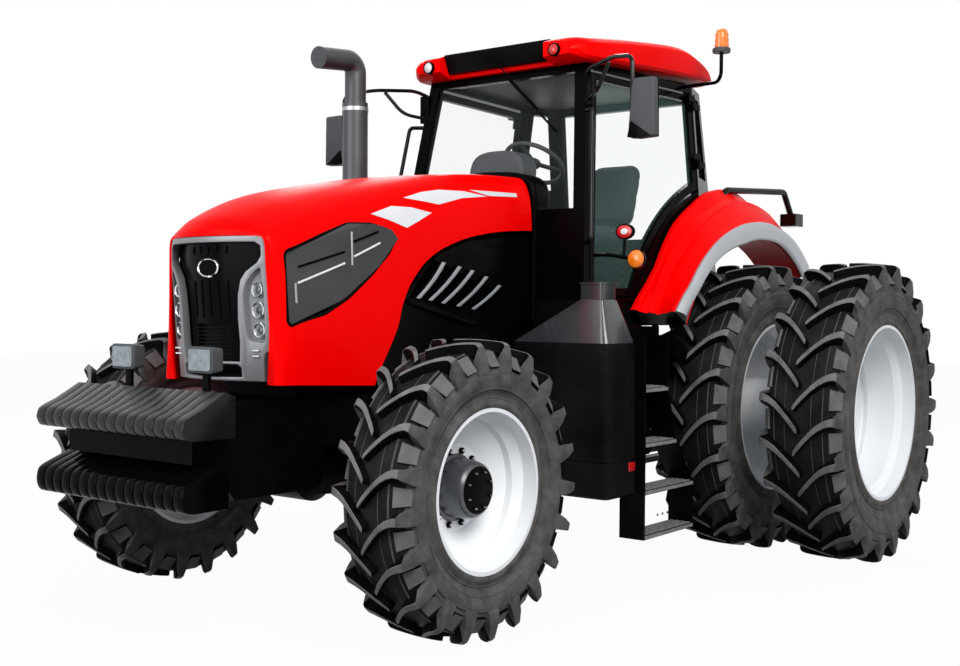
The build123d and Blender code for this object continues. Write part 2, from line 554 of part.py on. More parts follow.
def side_panels():
    """The fixed engine side panels, each with a recess of slanted louvres over a ledge."""
    outline = [*PANEL_FRONT, (2700.0, FRAME_Z1), (1840.0, FRAME_Z1), (1560.0, 1600.0)]
    panel = prism_y(outline, PANEL_OUT - 30, PANEL_OUT)
    panel += block(2350, 2650, FRAME_HALF_W - 30, PANEL_OUT - 10, FRAME_Z1, FRAME_Z1 + 20)
    panel -= prism_y(LOUVRE_RECESS, PANEL_OUT - 18, PANEL_OUT + 5)
    for top_x, top_z, low_x, low_z in LOUVRES:
        blade = [(top_x, top_z), (low_x, low_z), (low_x - LOUVRE_W, low_z), (top_x - LOUVRE_W, top_z - 12)]
        panel += prism_y(blade, PANEL_OUT - 20, PANEL_OUT + LOUVRE_OUT)
    return both(panel)


ARCH_X0, ARCH_X1 = 1340.0, 1516.0
ARCH_HALF_W, ARCH_TOP = 422.0, 2392.0


def cowl_arch():
    """The arch between hood and cab, standing a little proud of the hood and carrying its hinge."""
    x, w, crown = ARCH_X0, ARCH_HALF_W, ARCH_HALF_W - 60
    outer = make_face([
        Polyline((x, -crown, ARCH_TOP - 60), (x, -w, 2200), (x, -w, FLOOR_Z0), (x, w, FLOOR_Z0), (x, w, 2200),
                 (x, crown, ARCH_TOP - 60)),
        ThreePointArc((x, crown, ARCH_TOP - 60), (x, 0, ARCH_TOP), (x, -crown, ARCH_TOP - 60))])
    arch = extrude(outer, amount=ARCH_X1 - x, dir=(1, 0, 0)) - cab_form(0) - cab_base()
    for side in (-1, 1):
        y0, y1 = sorted((side * HOOD_LUG_Y, side * (HOOD_LUG_Y + 20)))
        arch += block(ARCH_X1, HOOD_HINGE_X, y0, y1, HOOD_HINGE_Z - 3 * HOOD_LUG_R, HOOD_HINGE_Z - 2)
        arch += rod_y(HOOD_HINGE_X, HOOD_HINGE_Z, HOOD_LUG_R, y0, y1)
        arch += rod_y(HOOD_HINGE_X, HOOD_HINGE_Z, HOOD_PIN_R, *sorted((side * HOOD_LUG_Y, side * (HOOD_LUG_Y + 40))))
    return arch


# ---- cab ------------------------------------------------------------------------------------------
def cab_form(inset, z0=CAB_Z0, z1=CAB_Z1):
    """The cab's tapering body, every wall `inset` further in."""
    loops = []
    for z in (CAB_Z0, CAB_Z1):
        top = z == CAB_Z1
        half = [(c[2], c[3]) if top else (c[0], c[1]) for c in CAB_CORNERS]
        (ax, ay), (cx, cy), (dx, dy) = half
        points = [(ax - inset, ay - inset, z), (cx - 0.2 * inset, cy - inset, z), (dx + inset, dy - inset, z)]
        loops.append(face(points + [(x, -y, z) for x, y, z in reversed(points)]))
    return loft(loops, ruled=True) & block(-900, 2000, -CAB_HALF_W + inset, CAB_HALF_W - inset, z0, z1)


def corner(number, z):
    """x and half width of one of the cab's corners at a height."""
    x0, y0, x1, y1 = CAB_CORNERS[number]
    share = (z - CAB_Z0) / (CAB_Z1 - CAB_Z0)
    return x0 + share * (x1 - x0), y0 + share * (y1 - y0)


# the door's side outline
DOOR_FRONT_LOW, DOOR_FRONT_TOP = 1425.0, 1212.0
DOOR_REAR_X, DOOR_REAR_Z = 152.0, 2350.0
DOOR_REAR_TOP_X = 128.0
DOOR_LOW_X = 975.0
DOOR_ARC = (668.0, 2040.0)
HINGE_X, HINGE_OUT, HINGE_Z = 140.0, 22.0, (2490.0, 2880.0)
HINGE_R, HINGE_PIN_R, HINGE_LENGTH = 15.0, 7.0, 50.0
WINDSCREEN_Z0, WINDOW_Z1 = 2150.0, 2985.0
REAR_WINDOW_Z0, QUARTER_Z0 = 2060.0, 2440.0
PILLAR_W = 80.0


def door_prism(grow):
    """A block over the door's side outline; its lower rear edge is an arc over the fender."""
    z0, z1 = DOOR_Z0 - grow, DOOR_Z1 + grow
    rear, low = DOOR_REAR_X - grow, DOOR_LOW_X - grow
    edge = make_face([
        Polyline((rear, 400, DOOR_REAR_Z - grow), (DOOR_REAR_TOP_X - grow, 400, z1),
                 (DOOR_FRONT_TOP + grow, 400, z1), (DOOR_FRONT_LOW + grow, 400, z0), (low, 400, z0)),
        ThreePointArc((low, 400, z0), (DOOR_ARC[0] - 0.7 * grow, 400, DOOR_ARC[1] - 0.7 * grow),
                      (rear, 400, DOOR_REAR_Z - grow))])
    return extrude(edge, amount=600, dir=(0, 1, 0))


def window_cutters():
    """Blocks over the windscreen, the rear window and the quarter windows."""
    front, back = [], []
    for z in (WINDSCREEN_Z0, WINDOW_Z1):
        front.append((corner(0, z)[1] - PILLAR_W, z))
    for z in (REAR_WINDOW_Z0, WINDOW_Z1):
        back.append((corner(2, z)[1] - PILLAR_W, z))
    screen = prism_x(front + [(-y, z) for y, z in reversed(front)], 1000, 1900)
    rear = prism_x(back + [(-y, z) for y, z in reversed(back)], -900, -100)
    low_x, top_x = corner(2, QUARTER_Z0)[0] + PILLAR_W, corner(2, WINDOW_Z1)[0] + PILLAR_W
    quarter = prism_y([(top_x, WINDOW_Z1), (low_x, QUARTER_Z0), (DOOR_REAR_X - PILLAR_W, QUARTER_Z0),
                       (DOOR_REAR_TOP_X - PILLAR_W, WINDOW_Z1)], 400, 1000)
    return screen, rear, quarter, other_side(quarter)


def hinge_axis():
    """A point low on the left door's hinge line and the line's direction, upward."""
    run = CAB_CORNERS[1][3] - CAB_CORNERS[1][1]
    direction = Vector(0, run, CAB_Z1 - CAB_Z0).normalized()
    y = corner(1, HINGE_Z[0])[1] + HINGE_OUT
    return Vector(HINGE_X, y, HINGE_Z[0]), direction


def hinge_cylinder(z, r, start, length):
    """A round of the hinge at height z, from `start` up its line."""
    point, direction = hinge_axis()
    origin = point + direction * ((z - point.Z) / direction.Z + start)
    return extrude(Plane(origin=origin, z_dir=direction) * Circle(r), amount=length)


def hinge_half(z, start, x0, x1):
    """One barrel of a hinge with the leaf that carries it on the cab's side."""
    barrel = hinge_cylinder(z, HINGE_R, start, HINGE_LENGTH)
    y = corner(1, z)[1]
    leaf = block(x0, x1, y - 30, y + HINGE_OUT + 5, z + start + 6, z + start + HINGE_LENGTH - 6)
    return (barrel + leaf) - cab_form(0)


def cab_frame():
    """Pillars, rails and fixed panels of the cab: a shell with its doors and windows cut out."""
    shell = cab_form(0) - cab_form(CAB_WALL, CAB_Z0 - 10, CAB_Z1 + 10)
    shell -= door_prism(PANEL_GAP) + other_side(door_prism(PANEL_GAP))
    for cutter in window_cutters():
        shell -= cutter
    for z in HINGE_Z:
        half = hinge_half(z, 0, HINGE_X - 75, HINGE_X)
        half += hinge_cylinder(z, HINGE_PIN_R, 0, 2 * HINGE_LENGTH)
        shell += half + other_side(half)
    return shell


def cab_glass():
    pane = cab_form(GLASS_IN) - cab_form(GLASS_IN + GLASS_T)
    panes = [pane & cutter for cutter in window_cutters()]
    return Compound([solid for p in panes for solid in p.solids()])


def cab_base():
    """Floor and lower sides of the cab, on four mounts."""
    half = [(c[0], min(c[1], CAB_HALF_W)) for c in CAB_CORNERS]
    outline = half + [(x, -y) for x, y in reversed(half)]
    base = prism_z(outline, FLOOR_Z0, CAB_Z0)
    for x in (-100, 1350):
        for y in (-150, 150):
            base += rod_z(x, y, 60, GEARBOX_Z1, FLOOR_Z0)
    return base


def door():
    """One door: a frame round its glass, hung on the rear pillar's hinges."""
    leaf = (cab_form(0) - cab_form(DOOR_T)) & door_prism(0)
    leaf -= door_prism(-DOOR_FRAME)
    for z in HINGE_Z:
        half = hinge_half(z, HINGE_LENGTH + 1, HINGE_X, HINGE_X + 75)
        leaf += half - hinge_cylinder(z, HINGE_PIN_R + PIN_GAP, HINGE_LENGTH - 5, HINGE_LENGTH + 20)
    return leaf


def door_glass():
    pane = cab_form(GLASS_IN) - cab_form(GLASS_IN + GLASS_T)
    return pane & door_prism(-DOOR_FRAME)


VISOR_X, VISOR_HALF_W = 1300.0, 400.0
ROOF_LAMP_Y, ROOF_LAMP_Z, ROOF_LAMP_R = 485.0, 3104.0, 38.0
# roof's side outline: x, z of the top edge from the front back, then of the bottom edge
ROOF_TOP = ((1420.0, 3150.0), (1370.0, 3178.0), (300.0, 3272.0), (-120.0, 3235.0), (-330.0, 3190.0))
ROOF_LOW = ((-330.0, 3110.0), (0.0, 3100.0), (1300.0, 3055.0), (1420.0, 3060.0))
ROOF_PLAN = ((1420.0, 560.0), (1400.0, 620.0), (1300.0, 690.0), (300.0, 745.0), (-130.0, 735.0), (-330.0, 600.0))


def roof():
    """The roof with its two forward corners, hollowed where it sits on the cab frame."""
    half, low, top = ROOF_PLAN[3][1] + 20, ROOF_LOW[2][1] - 100, ROOF_TOP[2][1] + 100
    plan = prism_z([*ROOF_PLAN, *[(x, -y) for x, y in reversed(ROOF_PLAN)]], low, top)
    body = prism_y([*ROOF_TOP, *ROOF_LOW], -half, half) & plan
    body += prism_z([(x, y) for x, y in cab_top_outline(20)], CAB_Z1, CAB_Z1 + 80)
    recess = block(VISOR_X, ROOF_TOP[0][0] + 80, -VISOR_HALF_W, VISOR_HALF_W, low, top)
    return body - recess


def cab_top_outline(inset):
    half = [(c[2] - math.copysign(inset, c[2]), c[3] - inset) for c in CAB_CORNERS]
    return half + [(x, -y) for x, y in reversed(half)]


def roof_visor():
    """The dark panel between the roof's forward corners."""
    outline = [(VISOR_X, 3058.0), (VISOR_X, 3184.0), (1372.0, 3178.0), (1330.0, 3060.0)]
    return prism_y(outline, -VISOR_HALF_W, VISOR_HALF_W)


def roof_lamps():
    """A round lamp on the face of each forward corner of the roof."""
    lamp = Pos(ROOF_TOP[0][0] + 8, ROOF_LAMP_Y, ROOF_LAMP_Z) * Rot(0, 90, 0) * Cylinder(ROOF_LAMP_R, 16)
    return both(lamp)


def fender_sections(lines):
    """Sections of the fender at FENDER_STATIONS' angles, each through (y, name of a radius, more) lines."""
    cx, cz = FENDER_X, REAR_TYRE_R + 5
    sections = []
    for angle, *radii in FENDER_STATIONS:
        a = math.radians(angle)
        r = dict(zip(("inner", "middle", "lip", "arch"), (REAR_TYRE_R + b for b in radii)))
        sections.append(face([(cx + (r[name] + more) * math.cos(a), y, cz + (r[name] + more) * math.sin(a))
                              for y, name, more in lines]))
    return loft(sections)


def fender():
    """The fender over the inner rear wheel: an arch whose inner part rises beside the door in two steps."""
    return fender_sections([
        (CAB_HALF_W, "arch", 0), (CAB_HALF_W, "inner", 0), (CAB_HALF_W + 70, "inner", -22),
        (CAB_HALF_W + 135, "middle", 34), (CAB_HALF_W + 185, "middle", 0),
        (LIP_IN, "lip", 22), (LIP_IN, "arch", 0)])


def fender_lips():
    """The silver lips along the fenders' outer edges."""
    return both(fender_sections([
        (LIP_IN, "arch", 0), (LIP_IN, "lip", 14), (LIP_IN + 30, "lip", 4), (FENDER_OUT, "lip", -52),
        (FENDER_OUT, "arch", 0)]))


# ---- seats and controls ---------------------------------------------------------------------------
def seat():
    base = block(40, 380, -160, 160, CAB_Z0, 1980)
    cushion = block(0, 480, -250, 250, 1980, 2110)
    back = prism_y([(0, 2110), (90, 2110), (-60, 2620), (-150, 2620), (-110, 2110)], -230, 230)
    return joined(base, cushion, back)


def dashboard():
    body = prism_y([(1000, CAB_Z0), (1060, 2450), (1120, 2545), (1230, 2540), (1290, 2420), (1330, CAB_Z0)], -235, 235)
    return body


def steering_wheel():
    wheel = Pos(930, 0, 2500) * Rot(0, -35, 0) * Torus(195, 15)
    hub = Pos(930, 0, 2500) * Rot(0, -35, 0) * Cylinder(40, 30)
    spokes = joined(*[Pos(930, 0, 2500) * Rot(0, -35, 0) * Rot(0, 0, a) * Pos(100, 0, 0) * Box(190, 30, 14)
                      for a in (0, 120, 240)])
    column = tube([(935, 0, 2495), (1060, 0, 2316)], 28, 10)
    return joined(wheel, hub, spokes, column) - dashboard()


# ---- sides ----------------------------------------------------------------------------------------
TANK_X0, TANK_X1, TANK_Y0, TANK_Y1 = 1455.0, 1780.0, 430.0, 1105.0
TANK_Z0, TANK_Z1 = 500.0, 1360.0


def fuel_tank(filler=True):
    """A tall side tank whose top rises like a roof to the square filler neck."""
    low = block(TANK_X0, TANK_X1, TANK_Y0, TANK_Y1, TANK_Z0, TANK_Z1)
    top = loft([
        face([(TANK_X0, TANK_Y0, TANK_Z1), (TANK_X1, TANK_Y0, TANK_Z1), (TANK_X1, TANK_Y1, TANK_Z1),
              (TANK_X0, TANK_Y1, TANK_Z1)]),
        face([(1580, 880, 1600), (1740, 880, 1600), (1740, 1040, 1600), (1580, 1040, 1600)])], ruled=True)
    neck = block(1585, 1735, 885, 1035, 1600, 1700)
    return joined(low, top, neck) if filler else low + top


STEP_Y0, STEP_Y1, STEP_X1, STEP_T = 980.0, 1140.0, 1440.0, 16.0
# tread: rear end x, z of its top
TREADS = ((REAR_TYRE_R - 75, 262.0), (REAR_TYRE_R - 75, 518.0), (REAR_TYRE_R + 140, 788.0), (REAR_TYRE_R + 245, 1102.0))
BOX_X0, BOX_Y1, BOX_Z0 = REAR_TYRE_R + 85, 985.0, 690.0


def steps():
    """A ladder of four treads, hung beside the housing under the door."""
    low_z, top_z = TREADS[0][1] - 25, BOX_Z0 + 700
    treads = [block(x, STEP_X1, STEP_Y0, STEP_Y1, z - 25, z) for x, z in TREADS]
    front = block(STEP_X1 - STEP_T, STEP_X1, STEP_Y0, STEP_Y1, low_z, top_z)
    edge = [(TREADS[0][0], low_z), (TREADS[1][0], TREADS[1][1]), TREADS[2], TREADS[3], (TREADS[3][0], top_z)]
    rear = prism_y(edge + [(x + STEP_T, z) for x, z in reversed(edge)], STEP_Y0, STEP_Y1)
    ladder = joined(front, rear, *treads)
    housing = prism_y([(BOX_X0, BOX_Z0 + 160), (BOX_X0, FLOOR_Z0), (TANK_X0, FLOOR_Z0), (TANK_X0, BOX_Z0),
                       (BOX_X0 + 100, BOX_Z0)], GEARBOX_HALF_W, BOX_Y1)
    return both(ladder + housing)


def exhaust():
    """The upright pipe in its sleeve on the right, with an outlet bent forward."""
    sleeve = rod_z(1970, -620, 78, 1500, 2810)
    pipe = tube([(1970, -620, 2700), (1970, -620, 3070), (2290, -620, 3040)], 66, 75)
    foot = tube([(1970, -PANEL_OUT, 1805), (1970, -640, 1805)], 52, 10)
    return joined(sleeve, pipe, foot)


GRAB_RAIL_Z = 1940.0, 2740.0


def mirrors():
    """Outside mirrors, each on a bent arm from the windscreen pillar."""
    head = block(1530, 1590, 1060, 1270, 2490, 2870)
    arm = tube([(1240, 560, 2950), (1420, 900, 2985), (1560, 1165, 2960), (1560, 1165, 2840)], 12, 45)
    brace = tube([(1270, 580, 2830), (1400, 800, 2850), (1440, 935, 2985)], 12, 40)
    return both((joined(head, arm, brace)) - cab_form(0))


def beacon():
    arm = tube([(230, 600, 3015), (250, 990, 3035), (262, 1000, 3235)], 12, 40) - cab_form(0)
    base = rod_z(262, 1000, 58, 3215, 3245)
    dome = rod_z(262, 1000, 48, 3245, 3370)
    return joined(arm, base, dome)


def fender_rails():
    """A bent bar from the top of each fender back to its tail lamp."""
    top = 2 * REAR_TYRE_R + 5 + FENDER_STATIONS[3][1]
    back = FENDER_X - 0.62 * (REAR_TYRE_R + FENDER_STATIONS[4][1])
    bar = [(FENDER_X + 10, 850, top - 90), (FENDER_X + 10, 850, top + 32), (back + 140, 960, top + 70), (back, 960, top - 100)]
    lamp = block(back - 70, back + 60, 900, 1020, top - 170, top - 80)
    return both(joined(tube(bar, 22, 50) - fender(), lamp))


def grab_rails():
    """Upright rails beside the doors' front edges, held by the windscreen pillars."""
    feet = [corner(0, z) for z in GRAB_RAIL_Z]
    (x0, y0), (x1, y1) = [(p[0], p[1]) for p in feet]
    z0, z1 = GRAB_RAIL_Z
    rail = tube([(x0 - 25, y0 - 25, z0), (x0 + 45, y0 + 75, z0), (x1 + 45, y1 + 75, z1), (x1 - 25, y1 - 25, z1)], 13, 30)
    return both(rail - cab_form(0))


def indicators():
    """A direction lamp on an arm from the foot of each windscreen pillar."""
    arm = tube([(1400, 680, 1860), (1490, 860, 1860), (1490, 1090, 1860)], 10, 30) - cab_form(0)
    lamp = Pos(1490, 1120, 1850) * Rot(0, 90, 0) * Cylinder(48, 60)
    return both(joined(arm, lamp))


# ---- linkage --------------------------------------------------------------------------------------
def link_bar(x0, z0, x1, z1, y, r):
    """A flat bar with round ends from one pin to the other."""
    length = math.hypot(x1 - x0, z1 - z0)
    angle = math.degrees(math.atan2(z1 - z0, x1 - x0))
    bar = Pos(x0, y, z0) * Rot(0, -angle, 0) * Pos(length / 2, 0, 0) * Box(length, LINK_T, 1.5 * r)
    return joined(bar, rod_y(x0, z0, r, y - LINK_T / 2, y + LINK_T / 2), rod_y(x1, z1, r, y - LINK_T / 2, y + LINK_T / 2))


def lower_links():
    """The two lower links, with pins for the lift rods."""
    end_x, rod_x = LINK_PIVOT_X - LINK_LENGTH, LINK_PIVOT_X - LIFT_ARM_LENGTH
    bar = link_bar(LINK_PIVOT_X, LINK_PIVOT_Z, end_x, LINK_PIVOT_Z, LINK_Y, LINK_EYE_R)
    bar -= rod_y(end_x, LINK_PIVOT_Z, LINK_BORE_R, LINK_Y - 60, LINK_Y + 60)
    bar -= rod_y(LINK_PIVOT_X, LINK_PIVOT_Z, LINK_BORE_R + PIN_GAP, LINK_Y - 60, LINK_Y + 60)
    bar += rod_y(rod_x, LINK_PIVOT_Z, LIFT_PIN_R, LIFT_ROD_Y - 25, LINK_Y)
    return both(bar)


def lift_arms():
    """The lift shaft across the gearbox with an arm at each end."""
    end_x = LINK_PIVOT_X - LIFT_ARM_LENGTH
    shaft = rod_y(LINK_PIVOT_X, LIFT_PIVOT_Z, LIFT_SHAFT_R, -LIFT_ARM_Y, LIFT_ARM_Y)
    arm = link_bar(LINK_PIVOT_X, LIFT_PIVOT_Z, end_x, LIFT_PIVOT_Z, LIFT_ARM_Y, LINK_EYE_R)
    arm += rod_y(end_x, LIFT_PIVOT_Z, LIFT_PIN_R, LIFT_ARM_Y, LIFT_ROD_Y + 25)
    return joined(shaft, arm, other_side(arm))


def lift_rods():
    """An upright rod each side, from the lift arm's pin to the lower link's pin."""
    x = LINK_PIVOT_X - LIFT_ARM_LENGTH
    rod = rod_z(x, LIFT_ROD_Y, 14, LINK_PIVOT_Z, LIFT_PIVOT_Z)
    for z, open_eye in ((LIFT_PIVOT_Z, 0), (LINK_PIVOT_Z, 3)):
        rod += rod_y(x, z, LIFT_PIN_R + 14, LIFT_ROD_Y - 18, LIFT_ROD_Y + 18)
    for z, open_eye in ((LIFT_PIVOT_Z, 0), (LINK_PIVOT_Z, 3)):
        rod -= rod_y(x, z, LIFT_PIN_R + PIN_GAP + open_eye, LIFT_ROD_Y - 40, LIFT_ROD_Y + 40)
    return both(rod)


def top_link():
    """The upper link of the hitch, folded up: a threaded tube between two eyes, pinned in the gearbox's ears."""
    x0 = GEARBOX_REAR_X - 40
    x1, z = x0 - TOP_LINK_LENGTH, TOP_LINK_Z
    eye = TOP_EAR_Y - 13
    bar = rod_y(x0, z, TOP_LINK_R, -TOP_EAR_Y - 20, TOP_EAR_Y + 20) + rod_y(x0, z, TOP_LINK_R + 16, -eye, eye)
    bar += Pos((x0 + x1) / 2, 0, z) * Rot(0, 90, 0) * Cylinder(16, TOP_LINK_LENGTH)
    bar += Pos((x0 + x1) / 2, 0, z) * Rot(0, 90, 0) * Cylinder(25, 0.55 * TOP_LINK_LENGTH)
    bar += rod_y(x1, z, TOP_LINK_R + 18, -eye, eye)
    bar -= rod_y(x1, z, TOP_LINK_R, -eye - 20, eye + 20)
    return Pos(x0, 0, z) * Rot(0, TOP_LINK_UP_DEG, 0) * Pos(-x0, 0, -z) * bar


def drawbar():
    """A flat drawbar under the gearbox, with its pin bore at the rear."""
    bar = block(DRAWBAR_X - 50, -250, -45, 45, DRAWBAR_Z, DRAWBAR_Z + 40)
    hanger = block(-420, -280, -80, 80, DRAWBAR_Z, GEARBOX_Z0)
    return (bar + hanger) - rod_z(DRAWBAR_X, 0, DRAWBAR_R, DRAWBAR_Z - 20, DRAWBAR_Z + 60)


def write_nodes(nodes):
    os.makedirs("parts", exist_ok=True)
    for name, shape in nodes.items():
        export_step(Pos(-ORIGIN_X, 0, 0) * shape, f"parts/{name}.step")


def main():
    nodes = {
        "front_axle": front_axle(),
        "front_frame": front_frame(),
        "engine_block": engine_block(),
        "gearbox": gearbox(),
        "rear_axle_housing": rear_axle_housing(),
        "front_weights": front_weights(),
        "weight_carrier": weight_carrier(),
        "work_lamps": work_lamps(),
        "hood": hood(),
        "hood_mesh": hood_mesh(),
        "grille_surround": grille_surround(),
        "headlamps": headlamps(),
        "grille": grille(),
        "side_panels": side_panels(),
        "cowl_arch": cowl_arch(),
        "cab_frame": cab_frame(),
        "cab_glass": cab_glass(),
        "cab_base": cab_base(),
        "roof": roof(),
        "roof_visor": roof_visor(),
        "roof_lamps": roof_lamps(),
        "fender_lips": fender_lips(),
        "grab_rails": grab_rails(),
        "seat": seat(),
        "dashboard": dashboard(),
        "steering_wheel": steering_wheel(),
        "fuel_tank": fuel_tank(),
        "side_tank": other_side(fuel_tank(filler=False)),
        "steps": steps(),
        "exhaust": exhaust(),
        "mirrors": mirrors(),
        "beacon": beacon(),
        "fender_rails": fender_rails(),
        "indicators": indicators(),
        "tie_rod": tie_rod(),
        "lower_links": lower_links(),
        "lift_arms": lift_arms(),
        "lift_rods": lift_rods(),
        "top_link": top_link(),
        "drawbar": drawbar(),
    }
    for side, turn in (("left", lambda s: s), ("right", other_side)):
        nodes[f"knuckle_{side}"] = turn(knuckle())
        nodes[f"front_hub_{side}"] = turn(front_hub())
        nodes[f"front_rim_{side}"] = turn(front_rim())
        nodes[f"front_tyre_{side}"] = turn(front_tyre())
        nodes[f"rear_hub_{side}"] = turn(rear_hub())
        nodes[f"rear_rims_{side}"] = turn(rear_rims())
        nodes[f"rear_tyres_{side}"] = turn(rear_tyres())
        nodes[f"door_{side}"] = turn(door())
        nodes[f"door_glass_{side}"] = turn(door_glass())
        nodes[f"fender_{side}"] = turn(fender())
    write_nodes(nodes)


if __name__ == "__main__":
    main()
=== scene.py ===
"""Looks of the farm tractor: materials, light, camera, and finer forms that stand for nodes of the CAD model.

Lengths are metres. +X points forward, +Y to the tractor's left, +Z up, and at(x, y, z) counts x from the rear
axle. Outlines are lists of (x, z) seen from the side or of (y, z) seen from in front.
"""
from contextlib import contextmanager
from math import atan2, cos, exp, hypot, pi, radians, sin

import bpy
import bmesh
from mathutils import Matrix, Vector
from mathutils.bvhtree import BVHTree


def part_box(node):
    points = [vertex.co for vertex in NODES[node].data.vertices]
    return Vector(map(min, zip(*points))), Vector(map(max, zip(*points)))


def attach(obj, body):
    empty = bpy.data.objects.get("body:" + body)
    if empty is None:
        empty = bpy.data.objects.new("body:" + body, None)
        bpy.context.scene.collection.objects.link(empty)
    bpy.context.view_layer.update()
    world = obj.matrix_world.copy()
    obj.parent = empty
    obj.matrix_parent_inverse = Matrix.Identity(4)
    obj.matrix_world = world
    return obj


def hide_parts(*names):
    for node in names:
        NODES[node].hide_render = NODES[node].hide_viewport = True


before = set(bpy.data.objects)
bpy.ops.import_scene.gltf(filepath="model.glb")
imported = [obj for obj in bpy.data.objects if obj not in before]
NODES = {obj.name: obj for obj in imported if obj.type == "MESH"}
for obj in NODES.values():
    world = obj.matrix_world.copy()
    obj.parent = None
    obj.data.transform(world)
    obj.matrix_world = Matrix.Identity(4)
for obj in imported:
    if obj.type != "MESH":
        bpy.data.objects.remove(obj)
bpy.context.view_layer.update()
SCENE = bpy.context.scene
SIDES = (("left", 1), ("right", -1))


def middle_x(node):
    low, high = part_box(node)
    return (low.x + high.x) / 2


REAR_X = middle_x("rear_tyres_left")
FRONT_X = middle_x("front_tyre_left")


def at(x, y, z):
    """A point given from the rear axle's x."""
    return Vector((x + REAR_X, y, z))


def route(points, sign=1):
    """Points given for the left side from the rear axle's x, on the left (1) or on the right (-1)."""
    return [at(x, sign * y, z) for x, y, z in points]


# ---- materials
def set_inputs(node, **values):
    """Gives a shader node these input values, with _ for a space in a name."""
    for key, value in values.items():
        node.inputs[key.replace("_", " ")].default_value = value


def add_node(tree, kind, **values):
    """A new shader node with these input values."""
    node = tree.nodes.new("ShaderNode" + kind)
    set_inputs(node, **values)
    return node


def material(name, color, rough, metal=0.0, coat=0.0, spec=.5, vary=0.0, scale=4.0, bump=0.0, grain=120.0,
             dust=None):
    """A principled material with its own colour variation, fine bump and dust (colour, amount, scale)."""
    mat = bpy.data.materials.new(name)
    mat.use_nodes = True
    tree = mat.node_tree
    link = tree.links.new
    shader = tree.nodes["Principled BSDF"]
    set_inputs(shader, Roughness=rough, Metallic=metal, Coat_Weight=coat, Coat_Roughness=.06,
               Specular_IOR_Level=spec)
    place = add_node(tree, "TexCoord").outputs["Object"]

    def noise(**values):
        node = add_node(tree, "TexNoise", **values)
        link(place, node.inputs["Vector"])
        return node.outputs["Fac"]

    ramp = add_node(tree, "ValToRGB")
    dark, light = ramp.color_ramp.elements
    dark.position, light.position = .3, .7
    dark.color = [c * (1 - vary) for c in color] + [1]
    light.color = [min(1, c * (1 + .5 * vary)) for c in color] + [1]
    link(noise(Scale=scale, Detail=5.0), ramp.inputs["Fac"])
    out = ramp.outputs["Color"]
    if dust:
        dust, dust_amount, dust_scale = dust
        mask = add_node(tree, "MapRange", From_Min=.42, From_Max=.75, To_Max=dust_amount)
        link(noise(Scale=dust_scale, Detail=8.0, Roughness=.65), mask.inputs["Value"])
        mix = add_node(tree, "Mix")
        mix.data_type = "RGBA"
        mix.inputs["B"].default_value = (*dust, 1)
        link(mask.outputs["Result"], mix.inputs["Factor"])
        link(out, mix.inputs["A"])
        out = mix.outputs["Result"]
    link(out, shader.inputs["Base Color"])
    if bump:
        relief = add_node(tree, "Bump", Strength=bump, Distance=.002)
        link(noise(Scale=grain, Detail=3.0), relief.inputs["Height"])
        link(relief.outputs["Normal"], shader.inputs["Normal"])
    return mat


def glass(name, color, alpha):
    """A thin tinted pane that lets what is behind it show."""
    mat = material(name, color, .02, vary=.05, scale=2.0)
    set_inputs(mat.node_tree.nodes["Principled BSDF"], Alpha=alpha, IOR=1.45)
    return mat


RED = material("red_paint", (1.0, 0.0, 0.0), .36, coat=.02, spec=.03, vary=.04, scale=1.5, bump=.02,
               grain=300)
SILVER = material("silver_paint", (.42, .44, .46), .38, metal=.5, vary=.06, bump=.03, grain=400)
SURROUND = material("surround_silver", (.23, .235, .245), .4, metal=.4, vary=.08, bump=.03, grain=400)
WHITE = material("white_rim_paint", (.92, .94, .95), .35, coat=.3, vary=.03, scale=3, bump=.03,
                 grain=200, dust=((.5, .48, .45), .1, 3))
BLACK = material("black_paint", (.0015, .0015, .0017), .2, spec=.03, vary=.2, bump=.02, grain=250)
GLOSS = material("gloss_black", (.002, .002, .0022), .18, spec=.16, coat=.08, vary=.2)
# painted light: the top row of weights is lighter and glossier than the lower row, which is plain black
LIT_TOP_WEIGHT = material("weight_top_row_painted_light", (.01, .0105, .011), .24, spec=.2, vary=.3, bump=.12, grain=120)
IRON = material("dark_iron_paint", (.0015, .0015, .0016), .42, spec=.03, vary=.3, bump=.25, grain=90,
                dust=((.028, .027, .025), .12, 3))
PLASTIC = material("black_plastic", (.0025, .0025, .003), .4, spec=.04, vary=.2, bump=.12, grain=500,
                   dust=((.03, .03, .03), .15, 2.0))
GREY = material("grey_plastic", (.07, .074, .078), .5, spec=.2, vary=.15, bump=.15, grain=600)
TANK = material("tank_plastic", (.003, .0035, .004), .36, spec=.03, vary=.2, bump=.1, grain=350,
                dust=((.04, .044, .048), .25, 1.6))
# painted highlight: the top of the tank is lighter and glossier than its sides
LIT_TANK_TOP = material("tank_top_painted_highlight", (.03, .033, .037), .22, spec=.6, coat=.3, vary=.25, scale=3, bump=.1,
                    grain=300)
# dusty tyre rubber, made far darker than the sidewall as painted shade in the valleys between the bars
SHADED_DUSTY_RUBBER = material("tyre_rubber", (.01, .0105, .0115), .55, spec=.04, vary=.35, scale=7, bump=.35,
                  grain=140, dust=((.036, .036, .037), .5, 5))
SIDEWALL = material("tyre_sidewall", (.1, .096, .09), .6, spec=.06, vary=.5, scale=14, bump=.5,
                    grain=90, dust=((.125, .118, .11), .6, 9))
# painted shade: the bars' sides are near black, as if turned away from the light
SHADED_FLANK = material("tyre_bar_sides_painted_shade", (.003, .003, .0033), .6, spec=.03, vary=.4, scale=9)
# painted highlight: the bars' tops are far lighter than the rubber around them
LIT_CREST = material("tyre_bar_tops_painted_highlight", (.155, .153, .148), .6, spec=.1, vary=.35, scale=14, bump=.3, grain=120)
